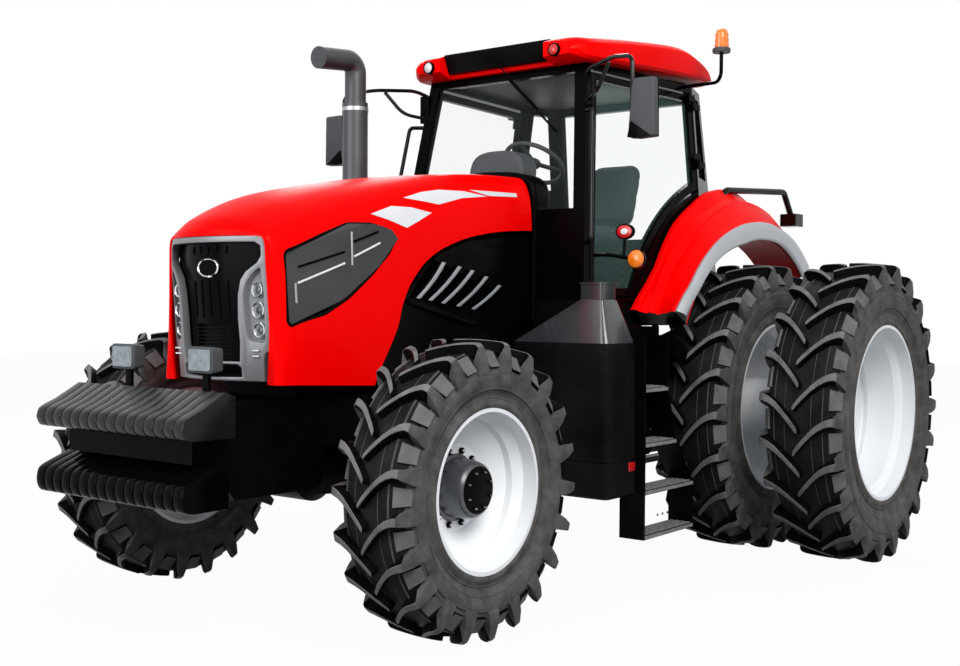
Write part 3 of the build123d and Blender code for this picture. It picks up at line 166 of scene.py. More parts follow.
# painted light: the shoulder pads are lighter, as if lit from above
LIT_PAD = material("tyre_shoulder_pads_painted_light", (.15, .145, .137), .6, spec=.1, vary=.3, scale=12, bump=.3, grain=120)
TREAD = material("step_tread", (.26, .25, .235), .7, vary=.35, scale=30, bump=.4)
MESHED = material("screen_mesh", (.055, .056, .058), .5, spec=.2, vary=.2, bump=.5, grain=260)
FABRIC = material("seat_fabric", (.035, .037, .042), .9, vary=.25, scale=12, bump=.6, grain=900)
CHROME = material("chrome", (.75, .77, .79), .12, metal=1.0, vary=.04)
STEEL = material("bright_steel", (.42, .42, .43), .35, metal=1.0, vary=.12, bump=.1)
DRUM = material("hub_drum", (.1, .105, .115), .34, metal=.6, spec=.4, vary=.3, scale=10, bump=.1)
PIPE = material("exhaust_steel", (.068, .071, .077), .42, metal=.55, vary=.15, scale=8, bump=.08)
MIRROR = material("mirror_face", (.8, .82, .84), .05, metal=1.0, vary=.02)
LAMP_FACE = material("lamp_face", (.3, .33, .35), .25, metal=.3, vary=.35, scale=40, bump=.4, grain=200)
ORANGE = material("orange_lens", (.95, .22, .01), .2, coat=.5, vary=.08, scale=20)
RED_LENS = material("red_lens", (.65, .01, .01), .2, coat=.5, vary=.1, scale=30)
PALE = material("decal_white", (.8, .81, .82), .35, coat=.5, vary=.03, scale=6)
GLASS = glass("tinted_glass", (.5, .62, .62), .014)
DOOR_GLASS = glass("green_glass", (.36, .7, .64), .045)
CLEAR = glass("clear_glass", (.3, .34, .36), .03)

# the nodes of each look, without left and right; nodes that aren't named here are black
LOOKS = {
    RED: "hood roof fender", WHITE: "front_rim rear_rims", PLASTIC: "cab_base roof_visor mirrors",
    IRON: "front_frame front_axle engine_block gearbox rear_axle_housing weight_carrier knuckle lower_links "
          "lift_arms lift_rods drawbar steps tie_rod front_weights front_hub",
    TANK: "fuel_tank side_tank", SHADED_DUSTY_RUBBER: "front_tyre rear_tyres", GREY: "dashboard steering_wheel",
    MESHED: "hood_mesh", FABRIC: "seat", PIPE: "exhaust", GLASS: "cab_glass", DOOR_GLASS: "door_glass",
    GLOSS: "grab_rails fender_rails", ORANGE: "beacon", CHROME: "headlamps"}
look_of = {name: look for look, names in LOOKS.items() for name in names.split()}
for name, node in NODES.items():
    node.data.materials.clear()
    node.data.materials.append(look_of.get(name.removesuffix("_left").removesuffix("_right"), BLACK))


# ---- floor, light and camera
def math_node(tree, operation, *values):
    """The output of a math node fed by sockets and numbers."""
    node = add_node(tree, "Math")
    node.operation = operation
    for socket, value in zip(node.inputs, values):
        if isinstance(value, float):
            socket.default_value = value
        else:
            tree.links.new(value, socket)
    return node.outputs[0]


def is_background(tree):
    """1 where the camera, a gloss reflection or a look through glass meets the surface."""
    path = add_node(tree, "LightPath")
    most = path.outputs["Is Camera Ray"]
    for other in ("Is Glossy Ray", "Is Transmission Ray"):
        most = math_node(tree, "MAXIMUM", most, path.outputs[other])
    return most


def mix_shaders(tree, share, first, second, output):
    """The second shader's share over the first, as the surface."""
    mix = add_node(tree, "MixShader")
    for source, socket in zip((share, first.outputs[0], second.outputs[0]), mix.inputs):
        tree.links.new(source, socket)
    tree.links.new(mix.outputs[0], tree.nodes[output].inputs["Surface"])


FLOOR_GREY, FLOOR_BOUNCE = .62, .06   # how light the floor is, and how light to bounced light
FLOOR_WHITE = .96                      # how much of the floor is plain white to the camera

world = bpy.data.worlds.new("studio")
SCENE.world = world
world.use_nodes = True
sky = world.node_tree.nodes["Background"]
set_inputs(sky, Color=(.8, .86, 1.0, 1), Strength=.55)
white = add_node(world.node_tree, "Background", Color=(1, 1, 1, 1), Strength=1.0)
mix_shaders(world.node_tree, is_background(world.node_tree), sky, white, "World Output")

bpy.ops.mesh.primitive_plane_add(size=60, location=(0, 0, -.001))
floor = bpy.context.object
floor.name = "floor"
mat = bpy.data.materials.new("floor_white")
mat.use_nodes = True
tree = mat.node_tree
shader = tree.nodes["Principled BSDF"]
set_inputs(shader, Roughness=.9)
# little light comes back from the floor, so that what faces down stays dark
grey = math_node(tree, "MULTIPLY_ADD", add_node(tree, "LightPath").outputs["Is Diffuse Ray"],
                 FLOOR_BOUNCE - FLOOR_GREY, FLOOR_GREY)
tree.links.new(grey, shader.inputs["Base Color"])
# the camera sees white paper that the object's shadow darkens a little
glow = add_node(tree, "Emission", Color=(1, 1, 1, 1), Strength=1.0)
mix_shaders(tree, math_node(tree, "MULTIPLY", is_background(tree), FLOOR_WHITE), shader, glow,
            "Material Output")
floor.data.materials.append(mat)


def new_object(name, data):
    obj = bpy.data.objects.new(name, data)
    SCENE.collection.objects.link(obj)
    return obj


for name, place, height, size, power, color in (
        ("key", (5.5, 7.5, 7.5), 1.2, 5.0, 900, (1.0, .98, .95)),
        ("front_fill", (9.0, -1.5, 3.5), 1.3, 5.0, 330, (.92, .96, 1.0)),
        ("back_fill", (-7.0, -5.5, 6.5), 1.2, 6.0, 420, (1, 1, 1))):
    light = bpy.data.lights.new(name, "AREA")
    light.energy, light.size, light.color = power, size, color
    obj = new_object(name, light)
    obj.location = place
    obj.rotation_euler = (Vector((0, 0, height)) - Vector(place)).to_track_quat("-Z", "Y").to_euler()

camera = bpy.data.cameras.new("camera")
camera.sensor_width, camera.lens = 36.0, 45.663
eye = new_object("camera", camera)
right = Vector((-.61231228, .79058255, .007274))
up = Vector((-.01248082, -.01886495, .99974414))
forward = Vector((-.79051749, -.61206482, -.02141836))
eye.matrix_world = (Matrix.Translation(at(7.46196, 4.6179, 1.55861))
                    @ Matrix((right, up, -forward)).transposed().to_4x4())
SCENE.camera = eye
SCENE.view_settings.view_transform = "Standard"


# ---- mesh helpers
def keep(obj, body, node=None):
    """Attaches a finished piece to the body it rides on and hides the CAD node it stands for."""
    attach(obj, body)
    if node:
        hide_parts(node)
    return obj


@contextmanager
def editing(data):
    """The mesh as a bmesh, written back at the end."""
    bm = bmesh.new()
    bm.from_mesh(data)
    yield bm
    bm.to_mesh(data)
    bm.free()


def cut(bm, place, normal):
    """Divides the faces along a plane."""
    bmesh.ops.bisect_plane(bm, geom=bm.verts[:] + bm.edges[:] + bm.faces[:], plane_co=place, plane_no=normal)


def is_sharp(edge, degrees):
    return len(edge.link_faces) == 2 and edge.calc_face_angle(0) > radians(degrees)


def shade(obj, auto):
    """Smooth shading, with sharp edges where faces meet at more than `auto` degrees."""
    with editing(obj.data) as bm:
        bmesh.ops.recalc_face_normals(bm, faces=bm.faces)
        for face in bm.faces:
            face.smooth = True
        for edge in bm.edges:
            edge.smooth = not is_sharp(edge, auto)


def mesh(name, verts, faces, mat, auto=35):
    """A mesh object from lists, shaded unless auto is 0."""
    data = bpy.data.meshes.new(name)
    data.from_pydata([tuple(v) for v in verts], [], faces)
    data.validate()
    data.materials.append(mat)
    obj = new_object(name, data)
    if auto:
        shade(obj, auto)
    return obj


def lathe(name, profile, centre, mat, segments=96, axis="Y", auto=35):
    """A surface turned about a line through centre; the profile holds (along, radius) pairs."""
    verts, faces = [], []
    n = len(profile)
    for k in range(segments):
        a = 2 * pi * k / segments
        for s, r in profile:
            c, d = r * cos(a), r * sin(a)
            verts.append(centre + Vector({"Y": (c, s, d), "X": (s, c, d), "Z": (c, d, s)}[axis]))
        q = (k + 1) % segments
        faces += [(k * n + j, q * n + j, q * n + j + 1, k * n + j + 1) for j in range(n - 1)]
    return mesh(name, verts, faces, mat, auto)


def bevelled(obj, width, segments=2, angle=25):
    with editing(obj.data) as bm:
        bmesh.ops.recalc_face_normals(bm, faces=bm.faces)
        edges = [e for e in bm.edges if is_sharp(e, angle)]
        bmesh.ops.bevel(bm, geom=edges, offset=width, segments=segments, affect="EDGES", profile=.6,
                        clamp_overlap=True)


def prism(name, outline, step, mat, bevel=0.0, segments=2, auto=30):
    """A plate from a flat outline of points, pushed by a step, with bevelled edges."""
    n = len(outline)
    verts = list(outline) + [p + Vector(step) for p in outline]
    faces = [tuple(range(n)), tuple(range(2 * n - 1, n - 1, -1))]
    faces += [(k, k + n, (k + 1) % n + n, (k + 1) % n) for k in range(n)]
    obj = mesh(name, verts, faces, mat, 0)
    if bevel:
        bevelled(obj, bevel, segments)
    shade(obj, auto)
    return obj


def side_plate(name, outline, y, depth, mat, bevel=0.0, segments=2):
    """A plate from an (x, z) outline, pushed along y."""
    return prism(name, [at(x, y, z) for x, z in outline], (0, depth, 0), mat, bevel, segments)


def face_plate(name, outline, x, depth, mat, bevel=0.0, segments=2, auto=30):
    """A plate from a (y, z) outline, pushed along x."""
    return prism(name, [at(x, y, z) for y, z in outline], (depth, 0, 0), mat, bevel, segments, auto)


def block(name, low, high, mat, bevel=.004):
    (x0, y0, z0), (x1, y1, z1) = low, high
    y0, y1 = sorted((y0, y1))
    outline = route([(x0, y0, z0), (x1, y0, z0), (x1, y1, z0), (x0, y1, z0)])
    return prism(name, outline, (0, 0, z1 - z0), mat, bevel)


def pipe(name, points, radius, mat, bend=3, sides=16, cyclic=False):
    """A round bar along points with rounded bends."""
    curve = bpy.data.curves.new(name, "CURVE")
    curve.dimensions = "3D"
    curve.bevel_depth = radius
    curve.bevel_resolution = max(1, sides // 4 - 1)
    curve.use_fill_caps = True
    spline = curve.splines.new("POLY")
    line = rounded(points, bend, cyclic)
    spline.points.add(len(line) - 1)
    for point, place in zip(spline.points, line):
        point.co = (*place, 1)
    spline.use_cyclic_u = cyclic
    obj = new_object(name + "_curve", curve)
    data = bpy.data.meshes.new_from_object(obj)
    bpy.data.objects.remove(obj)
    data.name = name
    data.materials.clear()
    data.materials.append(mat)
    obj = new_object(name, data)
    shade(obj, 40)
    return obj


def rounded(points, radius, cyclic=False, steps=6):
    """The points with each inner corner turned into an arc of about that radius."""
    if radius <= 0 or len(points) < 3:
        return points
    out = [] if cyclic else [points[0]]
    n = len(points)
    for k in (range(n) if cyclic else range(1, n - 1)):
        a, b, c = points[k - 1], points[k], points[(k + 1) % n]
        u, v = a - b, c - b
        reach = min(radius, .45 * u.length, .45 * v.length)
        p, q = b + u.normalized() * reach, b + v.normalized() * reach
        for j in range(steps + 1):
            t = j / steps
            out.append((1 - t) ** 2 * p + 2 * t * (1 - t) * b + t * t * q)
    return out if cyclic else out + [points[-1]]


def merge(name, objs):
    """Several mesh objects as one."""
    bpy.ops.object.select_all(action="DESELECT")
    for o in objs:
        o.select_set(True)
    bpy.context.view_layer.objects.active = objs[0]
    bpy.ops.object.join()
    obj = bpy.context.view_layer.objects.active
    obj.name = obj.data.name = name
    return obj


def catmull(points, per=4):
    """A smooth line through points."""
    out = []
    last = len(points) - 1
    for k in range(last):
        near = [points[min(max(i, 0), last)] for i in range(k - 1, k + 3)]
        for j in range(per):
            t = j / per
            out.append(tuple(.5 * (2 * b + (c - a) * t + (2 * a - 5 * b + 4 * c - d) * t * t
                                    + (3 * b - a - 3 * c + d) * t ** 3) for a, b, c, d in zip(*near)))
    return out + [points[-1]]


def whole(half):
    """A left-hand (y, z) outline with its mirrored way back."""
    return list(half) + [(-y, z) for y, z in reversed(half)]


def domed(half):
    """An outline over a dome, smoothed, from its left foot (y < 0) to the top (y = 0) and down again."""
    line = catmull(half, 3)
    return line + [(-y, z) for y, z in reversed(line[:-1])]


def paint_faces(obj, mats, pick):
    """Gives each face the material whose place in mats pick(face centre) says."""
    obj.data.materials.clear()
    for mat in mats:
        obj.data.materials.append(mat)
    for face in obj.data.polygons:
        face.material_index = int(pick(face.center))


def carve(obj, cutters):
    """Takes the cutters' forms away from the mesh, after its own modifiers."""
    for cutter in cutters:
        mod = obj.modifiers.new("carve", "BOOLEAN")
        mod.operation, mod.solver, mod.object = "DIFFERENCE", "EXACT", cutter
    graph = bpy.context.evaluated_depsgraph_get()
    data = bpy.data.meshes.new_from_object(obj.evaluated_get(graph), depsgraph=graph)
    obj.modifiers.clear()
    obj.data = data
    for cutter in cutters:
        bpy.data.objects.remove(cutter)


def thickened(obj, thickness):
    """Gives a sheet its thickness, inward."""
    mod = obj.modifiers.new("thick", "SOLIDIFY")
    mod.thickness, mod.offset = thickness, -1
    carve(obj, [])


def quads(rows, n, ring=False):
    """The faces between rows of n points, which close round if they are rings."""
    return [(i * n + j, i * n + (j + 1) % n, (i + 1) * n + (j + 1) % n, (i + 1) * n + j)
            for i in range(rows - 1) for j in range(n if ring else n - 1)]


def loft(name, loops, mat, auto=35, smooth=1):
    """A closed form through equal loops of points, with capped ends."""
    if smooth > 1:
        loops = list(zip(*[catmull(col, smooth) for col in zip(*loops)]))
    n, rows = len(loops[0]), len(loops)
    faces = quads(rows, n, True) + [tuple(range(n)), tuple(range((rows - 1) * n, rows * n))]
    return mesh(name, [at(*p) for loop in loops for p in loop], faces, mat, auto)


# ---- tyres
FRONT_TYRE_R, REAR_TYRE_R = .705, .925
SIDE, TOP, PAD_FACE, BUTTRESS = range(4)        # places of a bar's materials: the sides in painted shade, the tops and pads in painted light
# along a bar, from its nose near the middle: share of the way out, lead round the tyre in pitches, half width
BAR_BEND = ((-.07, .735, .01), (-.04, .71, .017), (.06, .6, .0185), (.22, .45, .0185),
            (.4, .29, .019), (.58, .155, .02), (.76, .06, .021), (.9, .015, .022))
# node, body, x, the tyres' y, width, rim radius, rim width, bars in a row, height of a bar
TYRES = (("rear_tyres_", "rear_wheels_", REAR_X, (1.092, 1.808), .465, .559, .41, 22, .058),
         ("front_tyre_", "front_wheel_", FRONT_X, (1.06,), .385, .406, .33, 21, .052))


def tyre(centre, radius, width, rim_r, rim_w, count, height):
    """A field tyre: a smooth carcass, two rows of bent bars, and a pad between each two bars at the shoulder.

    The bars' inner ends lead when the tractor rolls forward. A bar turns down over the shoulder as a buttress
    that widens towards its foot.
    """
    half, flange = width / 2, rim_w / 2
    base = radius - height
    wall = base - rim_r
    side = [(flange + .0005, rim_r - .018), (flange + .005, rim_r - .012), (flange + .007, rim_r + .004),
            (half - .034, rim_r + .16 * wall), (half - .01, rim_r + .34 * wall),
            (half - .003, rim_r + .52 * wall), (half - .012, base - .1), (half - .02, base - .07),
            (half - .056, base - .012), (half * .45, base + .004), (0, base + .008)]
    left = catmull(side)
    profile = left + [(-s, r) for s, r in reversed(left[:-1])]
    carcass = lathe("carcass", profile, centre, SIDEWALL, 120, auto=50)
    # painted shade: the tread band between the bars is far darker than the sidewall
    paint_faces(carcass, (SIDEWALL, SHADED_DUSTY_RUBBER), lambda c: (c - centre).xz.length > base - .055)

    # a bar's sections from its nose to the buttress's foot: the crest's distance from the middle and radius,
    # the root's distance and radius, how far round the section leads in pitches, and half its width
    edge = half - .016
    sections = [(share * edge, radius - .008 * share ** 2, share * edge, base - .012, lead, wide)
                for share, lead, wide in BAR_BEND]
    sections += [(edge - .006, radius - .01, edge - .03, base - .03, 0.0, .023),
                 (edge + .008, radius - .022, edge - .03, base - .05, 0.0, .025),
                 (half + .003, base - .024, half - .035, base - .06, 0.0, .04),
                 (half + .003, base - .088, half - .03, base - .095, 0.0, .058),
                 (half - .01, base - .12, half - .03, base - .13, 0.0, .066)]
    pitch = 2 * pi / count
    grow = (radius / REAR_TYRE_R) ** .7         # bars are a little narrower on a small tyre
    room = .5 * pitch * (base - .04) - .062 * grow
    pad = ((half - .05, base - .002, room + .004), (half - .001, base - .072, room - .002),
           (half - .07, base - .022, room + .008), (half - .03, base - .092, room + .002))
    pad_quads = (((0, 1, 3, 2), PAD_FACE), ((0, 4, 5, 1), PAD_FACE), ((2, 3, 7, 6), SIDE),
                 ((0, 2, 6, 4), SIDE), ((1, 5, 7, 3), SIDE))
    verts, faces, kinds = [], [], []

    def place(a, s, r):
        verts.append(centre + Vector((r * sin(a), s, r * cos(a))))

    out = 1 if centre.y > 0 else -1
    for first, sign in ((.5, out), (0.0, -out)):
        for k in range(count):
            start = (k + first) * pitch
            n = len(verts)
            for s, crest, root_s, root_r, lead, wide in sections:
                w = wide * grow
                for d, t, r in ((-w - .009, root_s, root_r), (-w, s, crest - .003), (-w + .003, s, crest),
                                (w - .003, s, crest), (w, s, crest - .003), (w + .009, root_s, root_r)):
                    place(start + lead * pitch + d / radius, sign * t, r)
            for j in range(len(sections) - 1):
                for i in range(5):
                    p = n + 6 * j + i
                    faces.append((p, p + 1, p + 7, p + 6))
                    kinds.append(BUTTRESS if j > len(BAR_BEND) else TOP if i in (1, 2, 3) else SIDE)
            for end in (n, n + 6 * (len(sections) - 1)):
                faces.append(tuple(range(end, end + 6)))
                kinds.append(SIDE)
            # the pad behind this bar: a flat block on the slope of the shoulder
            n = len(verts)
            for s, r, d in pad:
                for e in (-d, d):
                    place(start + .5 * pitch + e / base, sign * s, r)
            for quad, kind in pad_quads:
                faces.append(tuple(n + i for i in quad))
                kinds.append(kind)
    # painted light on the bars: dark sides, light tops and pads
    bars = mesh("bars", verts, faces, SHADED_FLANK, 28)
    for mat in (LIT_CREST, LIT_PAD, SIDEWALL):
        bars.data.materials.append(mat)
    bars.data.polygons.foreach_set("material_index", kinds)
    objs = [carcass, bars]

    # rings moulded on both sidewalls, and the fine seams that the mould leaves round the tread
    for sign in (1, -1):
        for r in (rim_r + .03, rim_r + .3 * wall, rim_r + .56 * wall):
            s = outer_at(left, r)
            ring = [(s - .004, r - .008), (s + .003, r - .003), (s + .003, r + .003), (s - .004, r + .008)]
            objs.append(lathe("ring", [(sign * a, b) for a, b in ring], centre, SIDEWALL, auto=40))
        for share in (.34, .62):
            s, r = sign * share * half, base + .006 - .01 * share ** 2
            seam = [(s - .003, r - .006), (s - .0012, r + .002), (s + .0012, r + .002), (s + .003, r - .006)]
            objs.append(lathe("seam", seam, centre, SIDEWALL, auto=40))
    return objs


def outer_at(profile, r):
    """How far out a half profile lies at a radius, on its sidewall."""
    for (s0, r0), (s1, r1) in zip(profile, profile[1:]):
        if r0 <= r <= r1 and r1 > r0:
            return s0 + (s1 - s0) * (r - r0) / (r1 - r0)
    return profile[-1][0]


for side, sign in SIDES:
    for node, body, x, places, *sizes in TYRES:
        low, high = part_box(node + side)
        radius = (high.z - low.z) / 2
        objs = []
        for y in places:
            objs += tyre(Vector((x, sign * y, low.z + radius)), radius, *sizes)
        keep(merge(f"{node}{side}_rubber", objs), body + side, node + side)


# ---- hood
# rows from the front lip to the rear edge, each from the middle over the shoulder and down the side
HOOD_ROWS = [
    [(3.686, 0, 1.886), (3.66, .17, 1.886), (3.606, .292, 1.884), (3.592, .34, 1.866), (3.588, .352, 1.75),
     (3.582, .36, 1.6), (3.575, .364, 1.42), (3.56, .335, 1.14)],
    [(3.678, 0, 1.93), (3.648, .175, 1.926), (3.59, .305, 1.912), (3.572, .362, 1.872), (3.556, .386, 1.75),
     (3.55, .396, 1.6), (3.55, .405, 1.42), (3.57, .405, 1.14)],
    [(3.6, 0, 2.0), (3.57, .18, 1.99), (3.5, .32, 1.955), (3.48, .381, 1.895), (3.47, .408, 1.75),
     (3.47, .422, 1.6), (3.47, .431, 1.42), (3.49, .431, 1.13)],
    [(3.35, 0, 2.11), (3.33, .18, 2.092), (3.31, .318, 2.035), (3.3, .39, 1.948), (3.29, .419, 1.78),
     (3.29, .433, 1.6), (3.29, .442, 1.42), (3.29, .442, 1.12)],
]
HOOD_ROWS += [[(x, y, z) for y, z in row] for x, *row in (
    (2.9, (0, 2.205), (.18, 2.195), (.318, 2.15), (.39, 2.06), (.424, 1.9), (.438, 1.72), (.446, 1.48),
     (.446, 1.12)),
    (2.5, (0, 2.27), (.18, 2.264), (.316, 2.236), (.384, 2.155), (.42, 2.01), (.432, 1.86), (.44, 1.68),
     (.442, 1.48)),
    (2.1, (0, 2.315), (.18, 2.312), (.312, 2.298), (.376, 2.225), (.408, 2.11), (.42, 2.0), (.425, 1.88),
     (.43, 1.72)),
    (1.8, (0, 2.335), (.18, 2.334), (.31, 2.322), (.37, 2.265), (.4, 2.17), (.412, 2.08), (.418, 1.98),
     (.42, 1.86)),
    (1.532, (0, 2.345), (.18, 2.344), (.308, 2.334), (.362, 2.292), (.394, 2.21), (.405, 2.13), (.41, 2.05),
     (.412, 1.95)))]
HOOD_ARCH = [(2.935, 1.16), (2.9, 1.23), (2.771, 1.436), (2.725, 1.565), (2.664, 1.67), (2.568, 1.767),
             (2.487, 1.823), (2.362, 1.881), (2.144, 1.945), (1.866, 1.99), (1.59, 2.012)]
BELOW_HOOD = [(4.0, 1.195), (3.45, 1.183), (2.97, 1.16), *catmull(HOOD_ARCH), (1.4, 2.016), (1.4, .8),
              (4.0, .8)]
WINDOW = [(3.508, 1.812), (3.3, 1.892), (3.095, 1.966), (2.93, 1.972), (2.81, 1.95), (2.76, 1.908),
          (2.82, 1.83), (2.95, 1.72), (3.114, 1.603), (3.28, 1.52), (3.492, 1.462), (3.508, 1.48)]
DECALS = (("front", [(2.926, 2.024), (2.767, 2.075), (2.62, 2.078), (2.463, 2.059), (2.57, 2.01),
                     (2.673, 1.967), (2.8, 2.0)]),
          ("rear", [(2.66, 2.126), (2.51, 2.168), (2.366, 2.192), (2.15, 2.2), (1.948, 2.186),
                    (2.18, 2.16), (2.391, 2.109), (2.52, 2.118)]),
          ("stripe", [(2.1, 2.212), (1.662, 2.226), (1.662, 2.204), (1.93, 2.19)]))
# what shows through the screen: both ends, and the paint
STRUTS = (((3.43, 1.664), (3.14, 1.768), PALE), ((3.08, 1.802), (2.9, 1.877), PALE),
          ((3.42, 1.743), (3.14, 1.825), BLACK), ((3.08, 1.877), (2.91, 1.935), BLACK),
          ((3.093, 1.925), (3.092, 1.76), SILVER), ((3.442, 1.664), (3.441, 1.57), SILVER))


def hood_sheet(name, along=5, across=4):
    """A smooth sheet through the hood's rows and their right-hand twins."""
    rows = [[(x, -y, z) for x, y, z in reversed(row[1:])] + row for row in HOOD_ROWS]
    lines = [catmull(row, across) for row in rows]
    fine = list(zip(*[catmull(col, along) for col in zip(*lines)]))
    return mesh(name, [at(*p) for row in fine for p in row], quads(len(fine), len(fine[0])), RED, 50)


def cast(tree, x, z, side):
    """Where a level line from one side first meets a surface; x is the frame's."""
    return tree.ray_cast(Vector((x, side * 2, z)), Vector((0, -side, 0)))[0]


DECAL_LIFT, DECAL_STEP = .0015, .02


def decal(name, outline, tree, side):
    """A thin patch laid on the hood: an (x, z) outline pushed onto its side."""
    data = bpy.data.meshes.new(name)
    with editing(data) as bm:
        bm.faces.new([bm.verts.new(at(x, 0, z)) for x, z in outline])
        for k, origin, normal in ((0, REAR_X, Vector((1, 0, 0))), (1, 0, Vector((0, 0, 1)))):
            v = min(p[k] for p in outline) + DECAL_STEP
            while v < max(p[k] for p in outline):
                cut(bm, normal * (v + origin), normal)
                v += DECAL_STEP
        for v in bm.verts:
            hit = cast(tree, v.co.x, v.co.z, side)
            if hit is None:
                hit = tree.find_nearest(Vector((v.co.x, side * .4, v.co.z)))[0]
            v.co = hit + Vector((0, side * DECAL_LIFT, DECAL_LIFT * .6))
    data.materials.append(PALE)
    obj = new_object(name, data)
    thickened(obj, .0012)
    shade(obj, 40)
    return obj


hood = hood_sheet("hood_shell", 8, 6)
thickened(hood, .012)
carve(hood, [side_plate("cutter", outline, -1, 2, BLACK) for outline in (BELOW_HOOD, WINDOW)])
shade(hood, 32)
keep(hood, "hood", "hood")
form = hood_sheet("hood_form")
form_faces = [tuple(face.vertices) for face in form.data.polygons]
form_tree = BVHTree.FromPolygons([v.co for v in form.data.vertices], form_faces)
screen = BVHTree.FromObject(NODES["hood_mesh"], bpy.context.evaluated_depsgraph_get())
for name, side in SIDES:
    for part, outline in DECALS:
        keep(decal(f"hood_decal_{part}_{name}", outline, form_tree, side), "hood")
    edge = [cast(form_tree, x + REAR_X, z, side) - Vector((0, side * .004, 0)) for x, z in WINDOW]
    keep(pipe(f"hood_window_edge_{name}", edge, .009, BLACK, .03, 12, True), "hood")
    for k, ((x0, z0), (x1, z1), look) in enumerate(STRUTS):
        hits = [cast(screen, x0 + (x1 - x0) * t + REAR_X, z0 + (z1 - z0) * t, side) for t in (0, .25, .5, .75,
                                                                                              1)]
        points = [hit + Vector((0, side * .003, 0)) for hit in hits if hit]
        if len(points) > 1:
            keep(pipe(f"hood_strut_{name}_{k}", points, .006, look, 0, 10), "hood")
bpy.data.objects.remove(form)


# ---- front: surround, grille, lamps
OUTER = [(0.0, 1.884), (.3, 1.884), (.332, 1.872), (.343, 1.849), (.346, 1.779), (.35, 1.623), (.355, 1.5),
         (.361, 1.396), (.357, 1.355), (.321, 1.335), (.312, 1.311), (.31, 1.199), (0.0, 1.199)]
INNER = [(0.0, 1.856), (.296, 1.856), (.322, 1.838), (.324, 1.79), (.308, 1.758), (.254, 1.715),
         (.227, 1.677), (.21, 1.606), (.203, 1.498), (.206, 1.386), (.199, 1.29), (0.0, 1.29)]
LOWER = [(0.0, 1.278), (.185, 1.278), (.205, 1.262), (.205, 1.218), (0.0, 1.212)]
LAMP = [(.321, 1.739), (.328, 1.622), (.322, 1.38), (.244, 1.393), (.237, 1.466), (.236, 1.598), (.25, 1.661),
        (.291, 1.715)]
SLATS = [(-.12, 1.468), (.12, 1.468), (.125, 1.292), (-.125, 1.292)]
BADGE_Z = 1.737
SLAT_COUNT, SLAT_LOW, SLAT_PITCH = 9, 1.305, .018
RIB_PITCH = .06


def bow(y, z, back=0.0):
    """x of the bowed front at a place on it."""
    return 3.684 - .86 * y * y - .09 * max(0.0, 1.75 - z) - back


def bend_to_bow(obj, back):
    """Cuts a flat plate at x 0 into strips and moves them onto the bow."""
    with editing(obj.data) as bm:
        for k in range(-8, 9):
            cut(bm, (0, k * .045, 0), (0, 1, 0))
        cut(bm, (0, 0, 1.75), (0, 0, 1))
        for v in bm.verts:
            v.co.x += bow(v.co.y, v.co.z, back)


def both(hole):
    """A left-hand hole and its right-hand twin."""
    return [[(sign * y, z) for y, z in hole] for sign in (1, -1)]


def front_plate(name, half, holes, back, depth, mat, bevel=0.0):
    """A bowed plate with holes, from a left-hand outline."""
    obj = face_plate(name, whole(half), 0, depth, mat)
    if holes:
        carve(obj, [face_plate("cutter", hole, -1, 3, mat) for hole in holes])
    if bevel:
        bevelled(obj, bevel, 2, 50)
    bend_to_bow(obj, back + depth)
    shade(obj, 30)
    return obj


def arcs(points, radius):
    """A flat closed outline with round corners."""
    return [(p.x, p.y) for p in rounded([Vector((a, b, 0)) for a, b in points], radius, True, 5)]


def bow_line(points, back):
    return [at(bow(y, z, back), y, z) for y, z in points]


holes = [whole(INNER), *both(arcs(LAMP, .02)), whole(LOWER)]
keep(front_plate("front_surround", OUTER, holes, 0.0, .045, SURROUND, .006), "hood",
     "grille_surround")
edge = [(-y, z) for y, z in reversed(OUTER[1:9])] + OUTER[1:9]
keep(pipe("surround_edge", bow_line(edge, .012), .008, CHROME, .03, 12), "hood")
face = [(0, 1.87), (.335, 1.86), (.335, 1.4), (.305, 1.3), (.3, 1.205), (0, 1.205)]
keep(front_plate("grille_face", face, both(arcs(SLATS, .02)), .05, .02, BLACK), "hood",
     "grille")
lower = [(0, 1.5), (.2, 1.5), (.2, 1.27), (0, 1.27)]
keep(front_plate("grille_lower", lower, (), .075, .01, PLASTIC), "hood")
for k in range(SLAT_COUNT):
    slat = [(y, SLAT_LOW + SLAT_PITCH * k) for y in (-.118, -.06, 0, .06, .118)]
    keep(pipe(f"grille_slat_{k}", bow_line(slat, .052), .003, PLASTIC, sides=8), "hood")
for k in range(-2, 3):
    for part, heights in (("low", (1.5, 1.58, 1.675)), ("high", (1.8, 1.82, 1.84))):
        rib = [(RIB_PITCH * k, z) for z in heights]
        keep(pipe(f"grille_rib_{part}_{k + 3}", bow_line(rib, .048), .004, BLACK, sides=8), "hood")
for part, look, slot, profile in (
        ("rim", CHROME, "bright_steel", [(.01, .046), (.016, .047), (.02, .043), (.017, .0395), (.01, .039)]),
        ("field", BLACK, "black_paint", [(.01, .041), (.0135, .039), (.0145, 0)])):
    badge = lathe("badge_" + part, profile, at(bow(0, BADGE_Z, .062), 0, BADGE_Z), look, 64, "X")
    for v in badge.data.vertices:
        v.co.y *= 1.65
    keep(badge, "hood")
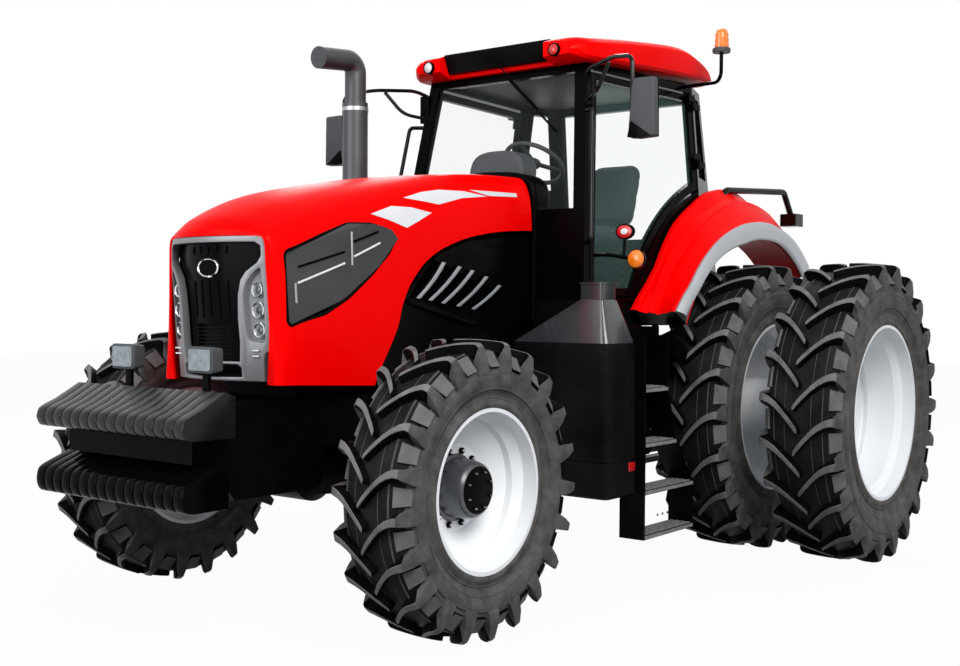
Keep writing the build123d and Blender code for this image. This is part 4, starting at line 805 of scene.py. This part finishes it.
for side, sign in SIDES:
    shape = [(sign * y, z) for y, z in LAMP]
    tray = face_plate(f"headlamp_tray_{side}", shape, 0, .008, SURROUND)
    bend_to_bow(tray, .045)
    shade(tray, 30)
    keep(tray, "hood", "headlamps")
    for k, (y, z, r) in enumerate(((.285, 1.63, .033), (.284, 1.535, .037), (.284, 1.44, .034))):
        centre = at(bow(y, z, .037), sign * y, z)
        ring = [(0, r + .003), (.014, r + .004), (.018, r), (.014, r - .006), (.002, r - .01), (-.01, .006),
                (-.01, 0)]
        keep(lathe(f"headlamp_ring_{side}_{k}", ring, centre, CHROME, 48, "X"), "hood")
        bulb = [(.011, 0), (.011, r * .3), (.008, r * .55), (0, r * .62)]
        keep(lathe(f"headlamp_bulb_{side}_{k}", bulb, centre, DRUM, 32, "X"), "hood")
    lens = face_plate(f"headlamp_lens_{side}", shape, 0, .003, CLEAR)
    bend_to_bow(lens, .014)
    keep(lens, "hood")
    for k, z in enumerate((1.345, 1.318)):
        x, y = bow(.27, z), sign * .27
        low, high = (x - .006, y - .035, z - .004), (x + .004, y + .035, z + .004)
        slit = block(f"surround_slit_{side}_{k}", low, high, CHROME, .002)
        keep(slit, "hood")


# ---- fenders
ARCH_X, ARCH_Z, ARCH_R = -.1, .93, 1.112     # the middle and the inner radius of the fender's sweep
FENDER_LOW, FENDER_HIGH = radians(28.5), radians(130)
FENDER_STEPS = 60


def sweep_line(*points):
    """Radius about the sweep's middle against the angle up from forward, through (x, z) points."""
    polar = sorted((atan2(z - ARCH_Z, x - ARCH_X), hypot(x - ARCH_X, z - ARCH_Z)) for x, z in points)

    def radius(a):
        if a <= polar[0][0]:
            return polar[0][1]
        for (a0, r0), (a1, r1) in zip(polar, polar[1:]):
            if a <= a1:
                return r0 + (r1 - r0) * (a - a0) / (a1 - a0)
        return polar[-1][1]
    return radius


# the fender's edge at the cab, its ridge, the red's outer edge and the silver lip's edge
FENDER_LINES = (sweep_line((.93, 1.45), (.909, 1.516), (.802, 1.734), (.68, 1.926), (.529, 2.093),
                           (.29, 2.237), (.109, 2.33), (-.079, 2.365), (-.3, 2.36), (-.55, 2.28), (-.8, 2.15),
                           (-.95, 2.02)), sweep_line((1.02, 1.45), (.999, 1.499), (.905, 1.67), (.758, 1.845),
                                                     (.566, 1.991), (.366, 2.116), (.214, 2.184),
                                                     (-.02, 2.262), (-.3, 2.275), (-.6, 2.22), (-.85, 2.1),
                                                     (-.97, 1.98)), sweep_line((1.075, 1.46), (1.061, 1.489),
                                                                               (.842, 1.701), (.586, 1.923),
                                                                               (.312, 2.05), (-.009, 2.119),
                                                                               (-.371, 2.113), (-.622, 2.043),
                                                                               (-.9, 1.86)),
                sweep_line((1.0, 1.46), (.982, 1.502), (.808, 1.671), (.548, 1.874), (.197, 1.983),
                           (-.103, 2.03), (-.425, 1.998), (-.684, 1.869), (-.86, 1.7)))
BRACKET = [(1.16, 1.4), (1.06, 1.4), (.93, 1.43), (.9, 1.345), (.93, 1.24), (1.05, 1.235), (1.13, 1.33)]
for side, sign in SIDES:
    reds, silvers = [], []
    for k in range(FENDER_STEPS + 1):
        a = FENDER_LOW + (FENDER_HIGH - FENDER_LOW) * k / FENDER_STEPS
        inner, ridge, red, silver = (line(a) for line in FENDER_LINES)
        inner = max(inner, red + .02)
        top = ridge + (red - ridge) * .28
        skin = [(.8, ARCH_R), (.8, inner), (.828, inner + .004), (.846, inner - .004), (.854, inner - .02),
                (.896, inner - .03 - .3 * (inner - ridge)), (.908, ridge + .026), (.95, ridge + .01),
                (.96, ridge - .006), (1.0, top), (1.04, top + (red - top) * .45), (1.075, red + .008),
                (1.096, red), (1.1, red - .02), (1.1, ARCH_R)]
        lip = [(1.094, red - .05), (1.096, red + .004), (1.112, red + .01), (1.132, red - .004),
               (1.146, (red + silver) / 2), (1.15, silver), (1.14, silver - .012), (1.1, ARCH_R + .01)]
        for loops, section in ((reds, skin), (silvers, lip)):
            loops.append([(ARCH_X + r * cos(a), sign * y, ARCH_Z + r * sin(a)) for y, r in section])
    piece = loft(f"fender_{side}_skin", reds, RED, 22)
    # the cut end over the step is black
    paint_faces(piece, (RED, BLACK), lambda c: atan2(c.z - ARCH_Z, c.x - REAR_X - ARCH_X) < FENDER_LOW + .001)
    keep(piece, "chassis", "fender_" + side)
    keep(loft(f"fender_lip_{side}", silvers, SILVER, 40), "chassis", "fender_lips")
    bracket = side_plate(f"mudguard_bracket_{side}", BRACKET, sign * 1.02, sign * .11, BLACK, .01)
    keep(bracket, "chassis")
    lens = [(0, .028), (-.01, .026), (-.012, 0)]
    keep(lathe(f"tail_lamp_lens_{side}", lens, at(-1.03, sign * .96, 2.205), RED_LENS, 32, "X"), "chassis")


# ---- roof, visor, lamps
# x, half width, underside z, side's top z, crown z
ROOF_ROWS = ((1.417, .6, 3.066, 3.142, 3.16), (1.36, .655, 3.048, 3.162, 3.182),
             (1.25, .695, 3.036, 3.176, 3.205), (.8, .735, 3.058, 3.23, 3.262), (.3, .747, 3.084, 3.276, 3.3),
             (0.0, .742, 3.098, 3.232, 3.27), (-.18, .705, 3.105, 3.178, 3.225),
             (-.31, .6, 3.12, 3.158, 3.192))
loops = []
for x, w, low, high, crown in ROOF_ROWS:
    edge = high - .05 if high - low > .07 else (high + low) / 2
    half = [(0, crown), (w * .5, crown - .006), (w - .09, high + .01), (w - .035, high - .006),
            (w - .006, high - .03), (w, edge), (w - .004, low + .022), (w - .022, low + .004), (w - .06, low),
            (0, low)]
    loops.append([(x, y, z) for y, z in half + [(-y, z) for y, z in reversed(half[1:-1])]])
roof = loft("roof_skin", loops, RED, 40, 4)
carve(roof, [block("cutter", (1.3, -.402, 3.0), (1.6, .402, 3.4), RED, 0)])
carve(roof, [block("cutter", (-.05, -.6, 3.0), (1.2, .6, 3.125), RED, 0)])
shade(roof, 30)
keep(roof, "chassis", "roof")
keep(block("headliner", (-.1, -.59, 3.03), (1.21, .59, 3.048), GREY), "chassis")
visor = [(1.296, 3.06), (1.296, 3.186), (1.34, 3.188), (1.385, 3.176), (1.335, 3.062)]
keep(side_plate("visor_panel", visor, -.4, .8, PLASTIC, .008), "chassis", "roof_visor")
for side, sign in SIDES:
    centre = at(1.425, sign * .487, 3.098)
    cup = [(-.03, .038), (.008, .04), (.016, .036), (.012, .032)]
    lens = [(.01, .033), (.018, .022), (.021, 0)]
    keep(lathe(f"roof_lamp_{side}", cup, centre, BLACK, 48, "X"), "chassis", "roof_lamps")
    look = PALE if side == "right" else RED_LENS
    keep(lathe(f"roof_lamp_lens_{side}", lens, centre, look, 32, "X"), "chassis")


# ---- glossy arch behind the hood, and engine side panels
arch = domed([(-.421, 1.46), (-.421, 1.8), (-.421, 2.16), (-.414, 2.25), (-.388, 2.315), (-.32, 2.358),
              (-.2, 2.38), (0, 2.389)])
keep(face_plate("arch_skin", arch, 1.345, .17, BLACK, .022, 4, 40), "chassis", "cowl_arch")
LOUVRES = (((2.389, 1.8), (2.601, 1.603)), ((2.251, 1.782), (2.504, 1.593)), ((2.135, 1.764), (2.395, 1.578)),
           ((2.007, 1.733), (2.266, 1.563)), ((1.884, 1.685), (2.133, 1.547)))
LEDGE = [(2.66, 1.6), (2.4, 1.545), (2.14, 1.478), (2.02, 1.47), (2.02, 1.452), (2.16, 1.455), (2.42, 1.52),
         (2.66, 1.575)]
for side, sign in SIDES:
    for k, ((x0, z0), (x1, z1)) in enumerate(LOUVRES):
        front = [((x0 * (1 - t) + x1 * t) - .018 * sin(pi * t), z0 * (1 - t) + z1 * t)
                 for t in (0, .25, .5, .75, 1)]
        blade = front + [(x - .03, z - .004) for x, z in reversed(front)]
        tip = side_plate(f"louvre_tip_{side}_{k}", blade, sign * .4255, sign * .006, SILVER, .002)
        keep(tip, "chassis")
    ledge = side_plate(f"louvre_ledge_{side}", LEDGE, sign * .395, sign * .035, BLACK, .006)
    keep(ledge, "chassis")


# ---- mirrors
MIRROR_ARMS = (([(1.262, .6, 2.93), (1.33, .68, 2.985), (1.47, .92, 2.995), (1.565, 1.112, 2.965),
                 (1.565, 1.112, 2.53)], .013, .06),
               ([(1.285, .625, 2.8), (1.37, .76, 2.835), (1.425, .87, 2.98)], .012, .06),
               ([(1.565, 1.112, 2.53), (1.563, 1.2, 2.525)], .012, .04))
SHELL = [(1.128, 2.835), (1.262, 2.832), (1.266, 2.505), (1.155, 2.5), (1.095, 2.508), (1.118, 2.8)]
WEDGE = [(1.118, 2.6), (1.245, 2.51), (1.155, 2.5), (1.097, 2.508)]
PANE = [(1.135, 2.82), (1.25, 2.818), (1.254, 2.518), (1.158, 2.514), (1.11, 2.52), (1.128, 2.79)]
# part, outline, x, depth, paint, bevel, its segments, slot
MIRROR_PLATES = (("shell", SHELL, 1.535, .055, GREY, .018, 3, "grey_plastic"),
                 ("wedge", WEDGE, 1.586, .008, BLACK, .003, 2, "black_paint"),
                 ("rim", SHELL, 1.53, .01, BLACK, .004, 2, "black_plastic"),
                 ("glass", PANE, 1.528, -.003, MIRROR, 0, 2, "bright_steel"))
for side, sign in SIDES:
    arms = [pipe("arm", route(points, sign), radius, GLOSS, bend, 12) for points, radius, bend in MIRROR_ARMS]
    arms.append(block("plate", (1.262, sign * .6, 2.77), (1.3, sign * .67, 2.95), BLACK, .006))
    keep(merge(f"mirror_arm_{side}", arms), "chassis", "mirrors")
    for part, outline, x, depth, look, bevel, segments, slot in MIRROR_PLATES:
        outline = [(sign * y, z) for y, z in outline]
        plate = face_plate(f"mirror_{part}_{side}", outline, x, depth, look, bevel, segments)
        keep(plate, "chassis")


# ---- beacon, wiper, indicators
foot = [(3.212, 0), (3.212, .056), (3.226, .06), (3.24, .056), (3.243, .05)]
dome = [(3.241, .047), (3.262, .049), (3.266, .046), (3.3, .047), (3.304, .044), (3.334, .044), (3.338, .041),
        (3.356, .036), (3.366, .02), (3.368, 0)]
arm = route([(.215, .655, 3.03), (.235, .96, 3.03), (.262, 1.0, 3.07), (.262, 1.0, 3.225)])
beacon = [pipe("arm", arm, .012, BLACK, .05, 12), lathe("foot", foot, at(.262, 1.0, 0), GREY, 48, "Z")]
keep(merge("beacon_arm", beacon), "chassis", "beacon")
keep(lathe("beacon_dome", dome, at(.262, 1.0, 0), ORANGE, 48, "Z"), "chassis")
arm = route([(1.385, -.05, 3.135), (1.355, .02, 3.07), (1.302, .13, 2.93), (1.325, .3, 2.78)])
blade = route([(1.292, .05, 2.99), (1.355, .46, 2.62)])
wiper = [pipe("arm", arm, .006, BLACK, .03, 8), pipe("blade", blade, .007, BLACK, 0, 8)]
keep(merge("wiper", wiper), "chassis")
INDICATOR_ARMS = (([(1.43, .785, 1.865), (1.47, .9, 1.865), (1.475, 1.06, 1.84)], .011, .05, 12),
                  ([(1.455, 1.0, 1.855), (1.45, 1.005, 1.96)], .009, 0, 8))
for side, sign in SIDES:
    arms = [pipe("arm", route(points, sign), radius, BLACK, bend, sides)
            for points, radius, bend, sides in INDICATOR_ARMS]
    centre = at(1.485, sign * 1.105, 1.835)
    cup = [(-.03, 0), (-.03, .04), (-.008, .056), (.008, .057), (.012, .052)]
    arms.append(lathe("cup", cup, centre, BLACK, 48, "X"))
    keep(merge(f"indicator_arm_{side}", arms), "chassis", "indicators")
    lens = [(.008, .053), (.022, .046), (.03, .028), (.033, 0)]
    keep(lathe(f"indicator_lens_{side}", lens, centre, ORANGE, 48, "X"), "chassis")
    y = sign * 1.005
    for k, (r, look, x) in enumerate(((.045, BLACK, .004), (.036, RED_LENS, .008), (.02, PALE, .01))):
        oval = [(-.012, 0), (-.012, r), (x, r), (x + .003, r - .006), (x + .004, 0)]
        piece = lathe(f"reflector_{k}_{side}", oval, at(1.45, y, 1.995), look, 48, "X")
        for v in piece.data.vertices:
            v.co.y = y + (v.co.y - y) * 1.35
        keep(piece, "chassis")


# ---- work lamps
def lamp_outline(y, z, half_y, half_z, radius):
    """A rectangle with round corners about a work lamp's middle."""
    corners = [(-half_y, -half_z), (half_y, -half_z), (half_y, half_z), (-half_y, half_z)]
    return [(y + a, z + b) for a, b in arcs(corners, radius)]


LAMP_X, LAMP_Z, LAMP_DEPTH = 3.915, 1.311, .075
for side, sign in SIDES:
    y = sign * .283
    box = lamp_outline(y, LAMP_Z, .088, .061, .02)
    housing = face_plate(f"work_lamp_{side}", box, LAMP_X, -LAMP_DEPTH, GREY, .008)
    for v in housing.data.vertices:             # narrower towards the back
        back = (LAMP_X + REAR_X - v.co.x) / LAMP_DEPTH
        v.co.y = y + (v.co.y - y) * (1 - .18 * back)
        v.co.z = LAMP_Z + (v.co.z - LAMP_Z) * (1 - .12 * back)
    shade(housing, 40)
    leg = block("leg", (3.865, y - .02, 1.1), (3.885, y + .02, 1.255), IRON, .003)
    keep(merge(f"work_lamp_body_{side}", [housing, leg]), "chassis", "work_lamps")
    face = lamp_outline(y, LAMP_Z, .074, .048, .014)
    for part, x, look, slot in (("reflector", 3.917, LAMP_FACE, "bright_steel"),
                                ("lens", 3.923, CLEAR, "lamp_glass")):
        keep(face_plate(f"work_lamp_{part}_{side}", face, x, .003, look), "chassis")
bar = route([(3.875, -.36, 1.118), (3.875, .36, 1.118)])
keep(pipe("work_lamp_bar", bar, .014, IRON, 0, 12), "chassis")


# ---- hubs and wheel nuts
def turned(name, profile, centre, sign, mat, segments=96):
    """A lathe form about a wheel's axis, for one side of the tractor."""
    return lathe(name, [(sign * s, r) for s, r in profile], centre, mat, segments)


NUT_DEPTH = .016


def nuts(name, centre, ring_r, count, size, sign, body):
    """A ring of hexagon nuts with their studs, on a face that looks along y."""
    objs = []
    for k in range(count):
        a = 2 * pi * (k + .5) / count
        c = centre + Vector((ring_r * cos(a), 0, ring_r * sin(a)))
        hexagon = [c + size * Vector((cos(b), 0, sin(b))) for b in (pi * i / 3 for i in range(6))]
        objs.append(prism("nut", hexagon, (0, sign * NUT_DEPTH, 0), IRON, .002, 1))
        stud = [(0, size * .5), (.024, size * .5), (.028, size * .3), (.028, 0)]
        objs.append(turned("stud", stud, c, sign, STEEL, 16))
    keep(merge(name, objs), body)


FRONT_DISC_Y, REAR_DISC_Y = 1.012, 1.651        # the faces that carry the nuts
FRONT_CAP = .138                                # from there to the face with the cap's bolts
for side, sign in SIDES:
    body = f"front_wheel_{side}"
    centre = Vector((FRONT_X, sign * FRONT_DISC_Y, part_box("front_tyre_left")[0].z + FRONT_TYRE_R))
    nuts(f"front_hub_nuts_{side}", centre, .176, 12, .017, sign, body)
    drum = [(.004, .16), (.01, .1415), (.086, .1375), (.106, .135), (.124, .13), (.136, .124), (.1455, .112)]
    keep(turned(f"front_hub_drum_{side}", drum, centre, sign, DRUM), body)
    cap = [(.1455, .112), (.1475, .104), (.1465, .07), (.15, .062), (.15, 0)]
    keep(turned(f"front_hub_cap_{side}", cap, centre, sign, IRON), body)
    nuts(f"front_hub_bolts_{side}", centre + Vector((0, sign * FRONT_CAP, 0)), .088, 8, .009, sign, body)
    body = f"rear_wheels_{side}"
    centre = Vector((REAR_X, 0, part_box("rear_tyres_left")[0].z + REAR_TYRE_R))
    spacer = [(1.016, .196), (1.03, .18), (1.05, .1765), (1.6, .1765), (1.622, .18), (1.636, .196)]
    keep(turned(f"rear_spacer_drum_{side}", spacer, centre, sign, WHITE), body)
    nuts(f"rear_wheel_nuts_{side}", centre + Vector((0, sign * REAR_DISC_Y, 0)), .2, 10, .019, sign, body)


# ---- seat and dashboard
SEAT_LEAN = radians(-16.4)
VOXEL, PRESSURE, CLOTH_FRAMES = .008, 4, 20
MOST_SWELL = .02


def pillow(name, size, powers=(5, 5, 2.6)):
    """A crowned closed form whose sides pull in: a cube pushed out to a rounded cushion."""
    data = bpy.data.meshes.new(name)
    with editing(data) as bm:
        bmesh.ops.create_cube(bm, size=2)
        bmesh.ops.subdivide_edges(bm, edges=bm.edges[:], cuts=14, use_grid_fill=True)
        for v in bm.verts:
            r = sum(abs(c) ** e for c, e in zip(v.co, powers)) ** (-1 / max(powers))
            v.co = Vector(c * r * s for c, s in zip(v.co, size))
    data.materials.append(FABRIC)
    return new_object(name, data)


def stuffed(obj):
    """Swells a cushion with the cloth solver, as its filling does, and keeps each point near its form."""
    bpy.ops.object.select_all(action="DESELECT")
    bpy.context.view_layer.objects.active = obj
    obj.select_set(True)
    even = obj.modifiers.new("even", "REMESH")
    even.mode, even.voxel_size = "VOXEL", VOXEL
    bpy.ops.object.modifier_apply(modifier="even")
    before = [v.co.copy() for v in obj.data.vertices]
    cloth = obj.modifiers.new("filling", "CLOTH")
    cloth.settings.quality = 5
    cloth.settings.use_pressure = True
    cloth.settings.uniform_pressure_force = PRESSURE
    cloth.settings.effector_weights.gravity = 0
    cloth.collision_settings.use_collision = False
    for step in range(CLOTH_FRAMES):
        SCENE.frame_set(step + 1)
    swollen = obj.evaluated_get(bpy.context.evaluated_depsgraph_get()).to_mesh()
    after = [v.co.copy() for v in swollen.vertices]
    obj.modifiers.remove(cloth)
    SCENE.frame_set(1)
    for v, a, b in zip(obj.data.vertices, before, after):
        move = b - a
        v.co = a + move * min(1.0, MOST_SWELL / max(move.length, 1e-6))
    soft = obj.modifiers.new("soft", "SUBSURF")
    soft.levels = soft.render_levels = 1
    for face in obj.data.polygons:
        face.use_smooth = True


def channels(obj, depth=.006, width=.012):
    """Sewn channels: presses the surface in along three lines across the cushion."""
    for v in obj.data.vertices:
        if v.co.z > 0:
            for line in (-.12, 0.0, .12):
                d = (v.co.x - line) / width
                v.co.z -= depth * exp(-d * d) * (1 if abs(v.co.x) < .19 else .4)


bellows = [(.06, 1.6), (.36, 1.6)] + [(.36 - .03 * (k % 2), 1.64 + .028 * k) for k in range(12)]
bellows += [(.38, 1.985), (.04, 1.985)] + [(.06 + .03 * (k % 2), 1.948 - .028 * k) for k in range(12)]
keep(side_plate("seat_pedestal", bellows, -.16, .32, PLASTIC, .004), "chassis", "seat")
for name, size, place, lean in (
        ("seat_cushion", (.228, .238, .052), at(.242, 0, 2.052), 0.0),
        ("seat_backrest", (.252, .222, .042), at(-.036, 0, 2.352), SEAT_LEAN - pi / 2)):
    piece = pillow(name, size)
    stuffed(piece)
    channels(piece)
    piece.data.transform(Matrix.Translation(place) @ Matrix.Rotation(lean, 4, "Y"))
    keep(piece, "chassis", "seat")

dome = domed([(-.185, 2.3), (-.212, 2.4), (-.205, 2.455), (-.18, 2.5), (-.135, 2.53), (-.07, 2.543),
              (0, 2.545)])
dome = [(y - .03, z) for y, z in dome]
keep(face_plate("dash_dome", dome, 1.15, .165, GREY, .035, 5, 50), "chassis", "dashboard")
column = [(1.01, 1.61), (1.07, 2.38), (1.2, 2.42), (1.31, 2.4), (1.31, 1.61)]
keep(side_plate("dash_column", column, -.13, .26, PLASTIC, .02, 3), "chassis", "dashboard")


# ---- front weights: plates side by side, each with a rounded nose
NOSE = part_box("front_weights")[1].x
WEIGHTS, WEIGHT_PITCH, WEIGHT_THICK = 16, .0675, .0615
plates = []
# each row's lowest z, its nose's top, its back's top, its depth, its material: the top row lighter and
# glossier as painted light, the lower row plain black
for z0, z_front, z_back, back, mat in ((.98, 1.09, 1.18, .287, LIT_TOP_WEIGHT), (.672, .812, .868, .252, BLACK)):
    nose = [(-.06, z0), (-.018, z0 + .01), (0, z0 + .045), (0, z_front - .055), (-.012, z_front - .022),
            (-.045, z_front - .002)]
    outline = [(-back, z0), *catmull(nose, 3), (-.1, z_front + .02), (-back + .06, z_back),
               (-back, z_back - .02)]
    for k in range(WEIGHTS):
        y = -.537 + WEIGHT_PITCH * k
        points = [Vector((NOSE + x, y, z)) for x, z in outline]
        plates.append(prism("weight", points, (0, WEIGHT_THICK, 0), mat, .007))
keep(merge("weight_plates", plates), "chassis", "front_weights")


# ---- fuel tank and its twin
def round_box(x0, x1, y0, y1, z, r, inset=0.0, steps=5):
    """A level rectangle with round corners, as a loop."""
    x0, x1, y0, y1 = x0 + inset + r, x1 - inset - r, y0 + inset + r, y1 - inset - r
    loop = []
    for corner, (cx, cy) in enumerate(((x1, y1), (x0, y1), (x0, y0), (x1, y0))):
        for k in range(steps + 1):
            a = pi / 2 * (corner + k / steps)
            loop.append((cx + r * cos(a), cy + r * sin(a), z))
    return loop


TANK_LEVELS = ((.5, .03, .012), (.512, .04, 0), (.688, .045, 0), (.694, .045, .005), (.702, .045, .005),
               (.708, .045, 0), (1.335, .05, 0), (1.362, .05, .006))      # z, corner radius, inset
FILLER_LEVELS = ((1.604, .016, .005), (1.688, .016, .005), (1.69, .018, -.001), (1.702, .018, -.001),
                 (1.706, .016, .02))
for name, sign in (("fuel_tank", 1), ("side_tank", -1)):
    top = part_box(name)[1].z
    loops = [round_box(1.455, 1.78, .43, 1.105, z, r, inset) for z, r, inset in TANK_LEVELS]
    loops.append(round_box(1.58, 1.74, .88, 1.04, 1.6, .016))
    if name == "fuel_tank":
        loops += [round_box(1.58, 1.74, .88, 1.04, z, r, inset) for z, r, inset in FILLER_LEVELS]
    loops = [[(x, sign * y, min(z, top)) for x, y, z in loop] for loop in loops]
    piece = loft(name + "_shell", loops, TANK, 30)
    # painted highlight: the top and the filler are lighter and glossier than the sides
    paint_faces(piece, (TANK, LIT_TANK_TOP), lambda c: c.z > 1.37)
    keep(piece, "chassis", name)
    reflector = block(name + "_reflector", (1.49, sign * 1.1, .64), (1.555, sign * 1.112, .69), RED_LENS)
    keep(reflector, "chassis")


# ---- steps: rough treads, bolts
TOOTH_PITCH, TOOTH_ROW = .034, .036
for side, sign in SIDES:
    objs = []
    for x0, z in ((.85, .262), (.85, .518), (1.065, .788), (1.17, 1.102)):       # each tread's rear and top
        for i in range(int((1.42 - x0) / TOOTH_PITCH)):
            for j in range(4):
                x, y = x0 + .022 + TOOTH_PITCH * i, sign * (1.01 + TOOTH_ROW * j)
                low, high = (x - .011, y - .012, z - .001), (x + .011, y + .012, z + .006)
                objs.append(block("tooth", low, high, TREAD, 0))
        y = sign * 1.1405
        objs.append(block("edge", (x0 + .004, y - .0015, z - .022), (1.424, y + .0015, z - .002), TREAD, 0))
        for x in (x0 + .04, x0 + .1, x0 + .16):
            bolt = [(0, .008), (.004, .007), (.006, 0)]
            objs.append(turned("bolt", bolt, at(x, sign * .986, z + .05), sign, STEEL, 12))
    keep(merge(f"step_treads_{side}", objs), "chassis")

# ---- exhaust bands
band = [(-.012, .0775), (-.012, .082), (.012, .082), (.012, .0775)]
for z in (1.56, 2.3, 2.77):
    piece = lathe(f"exhaust_band_{int(z * 100)}", band, at(1.97, -.62, z), STEEL, 48, "Z")
    keep(piece, "chassis")
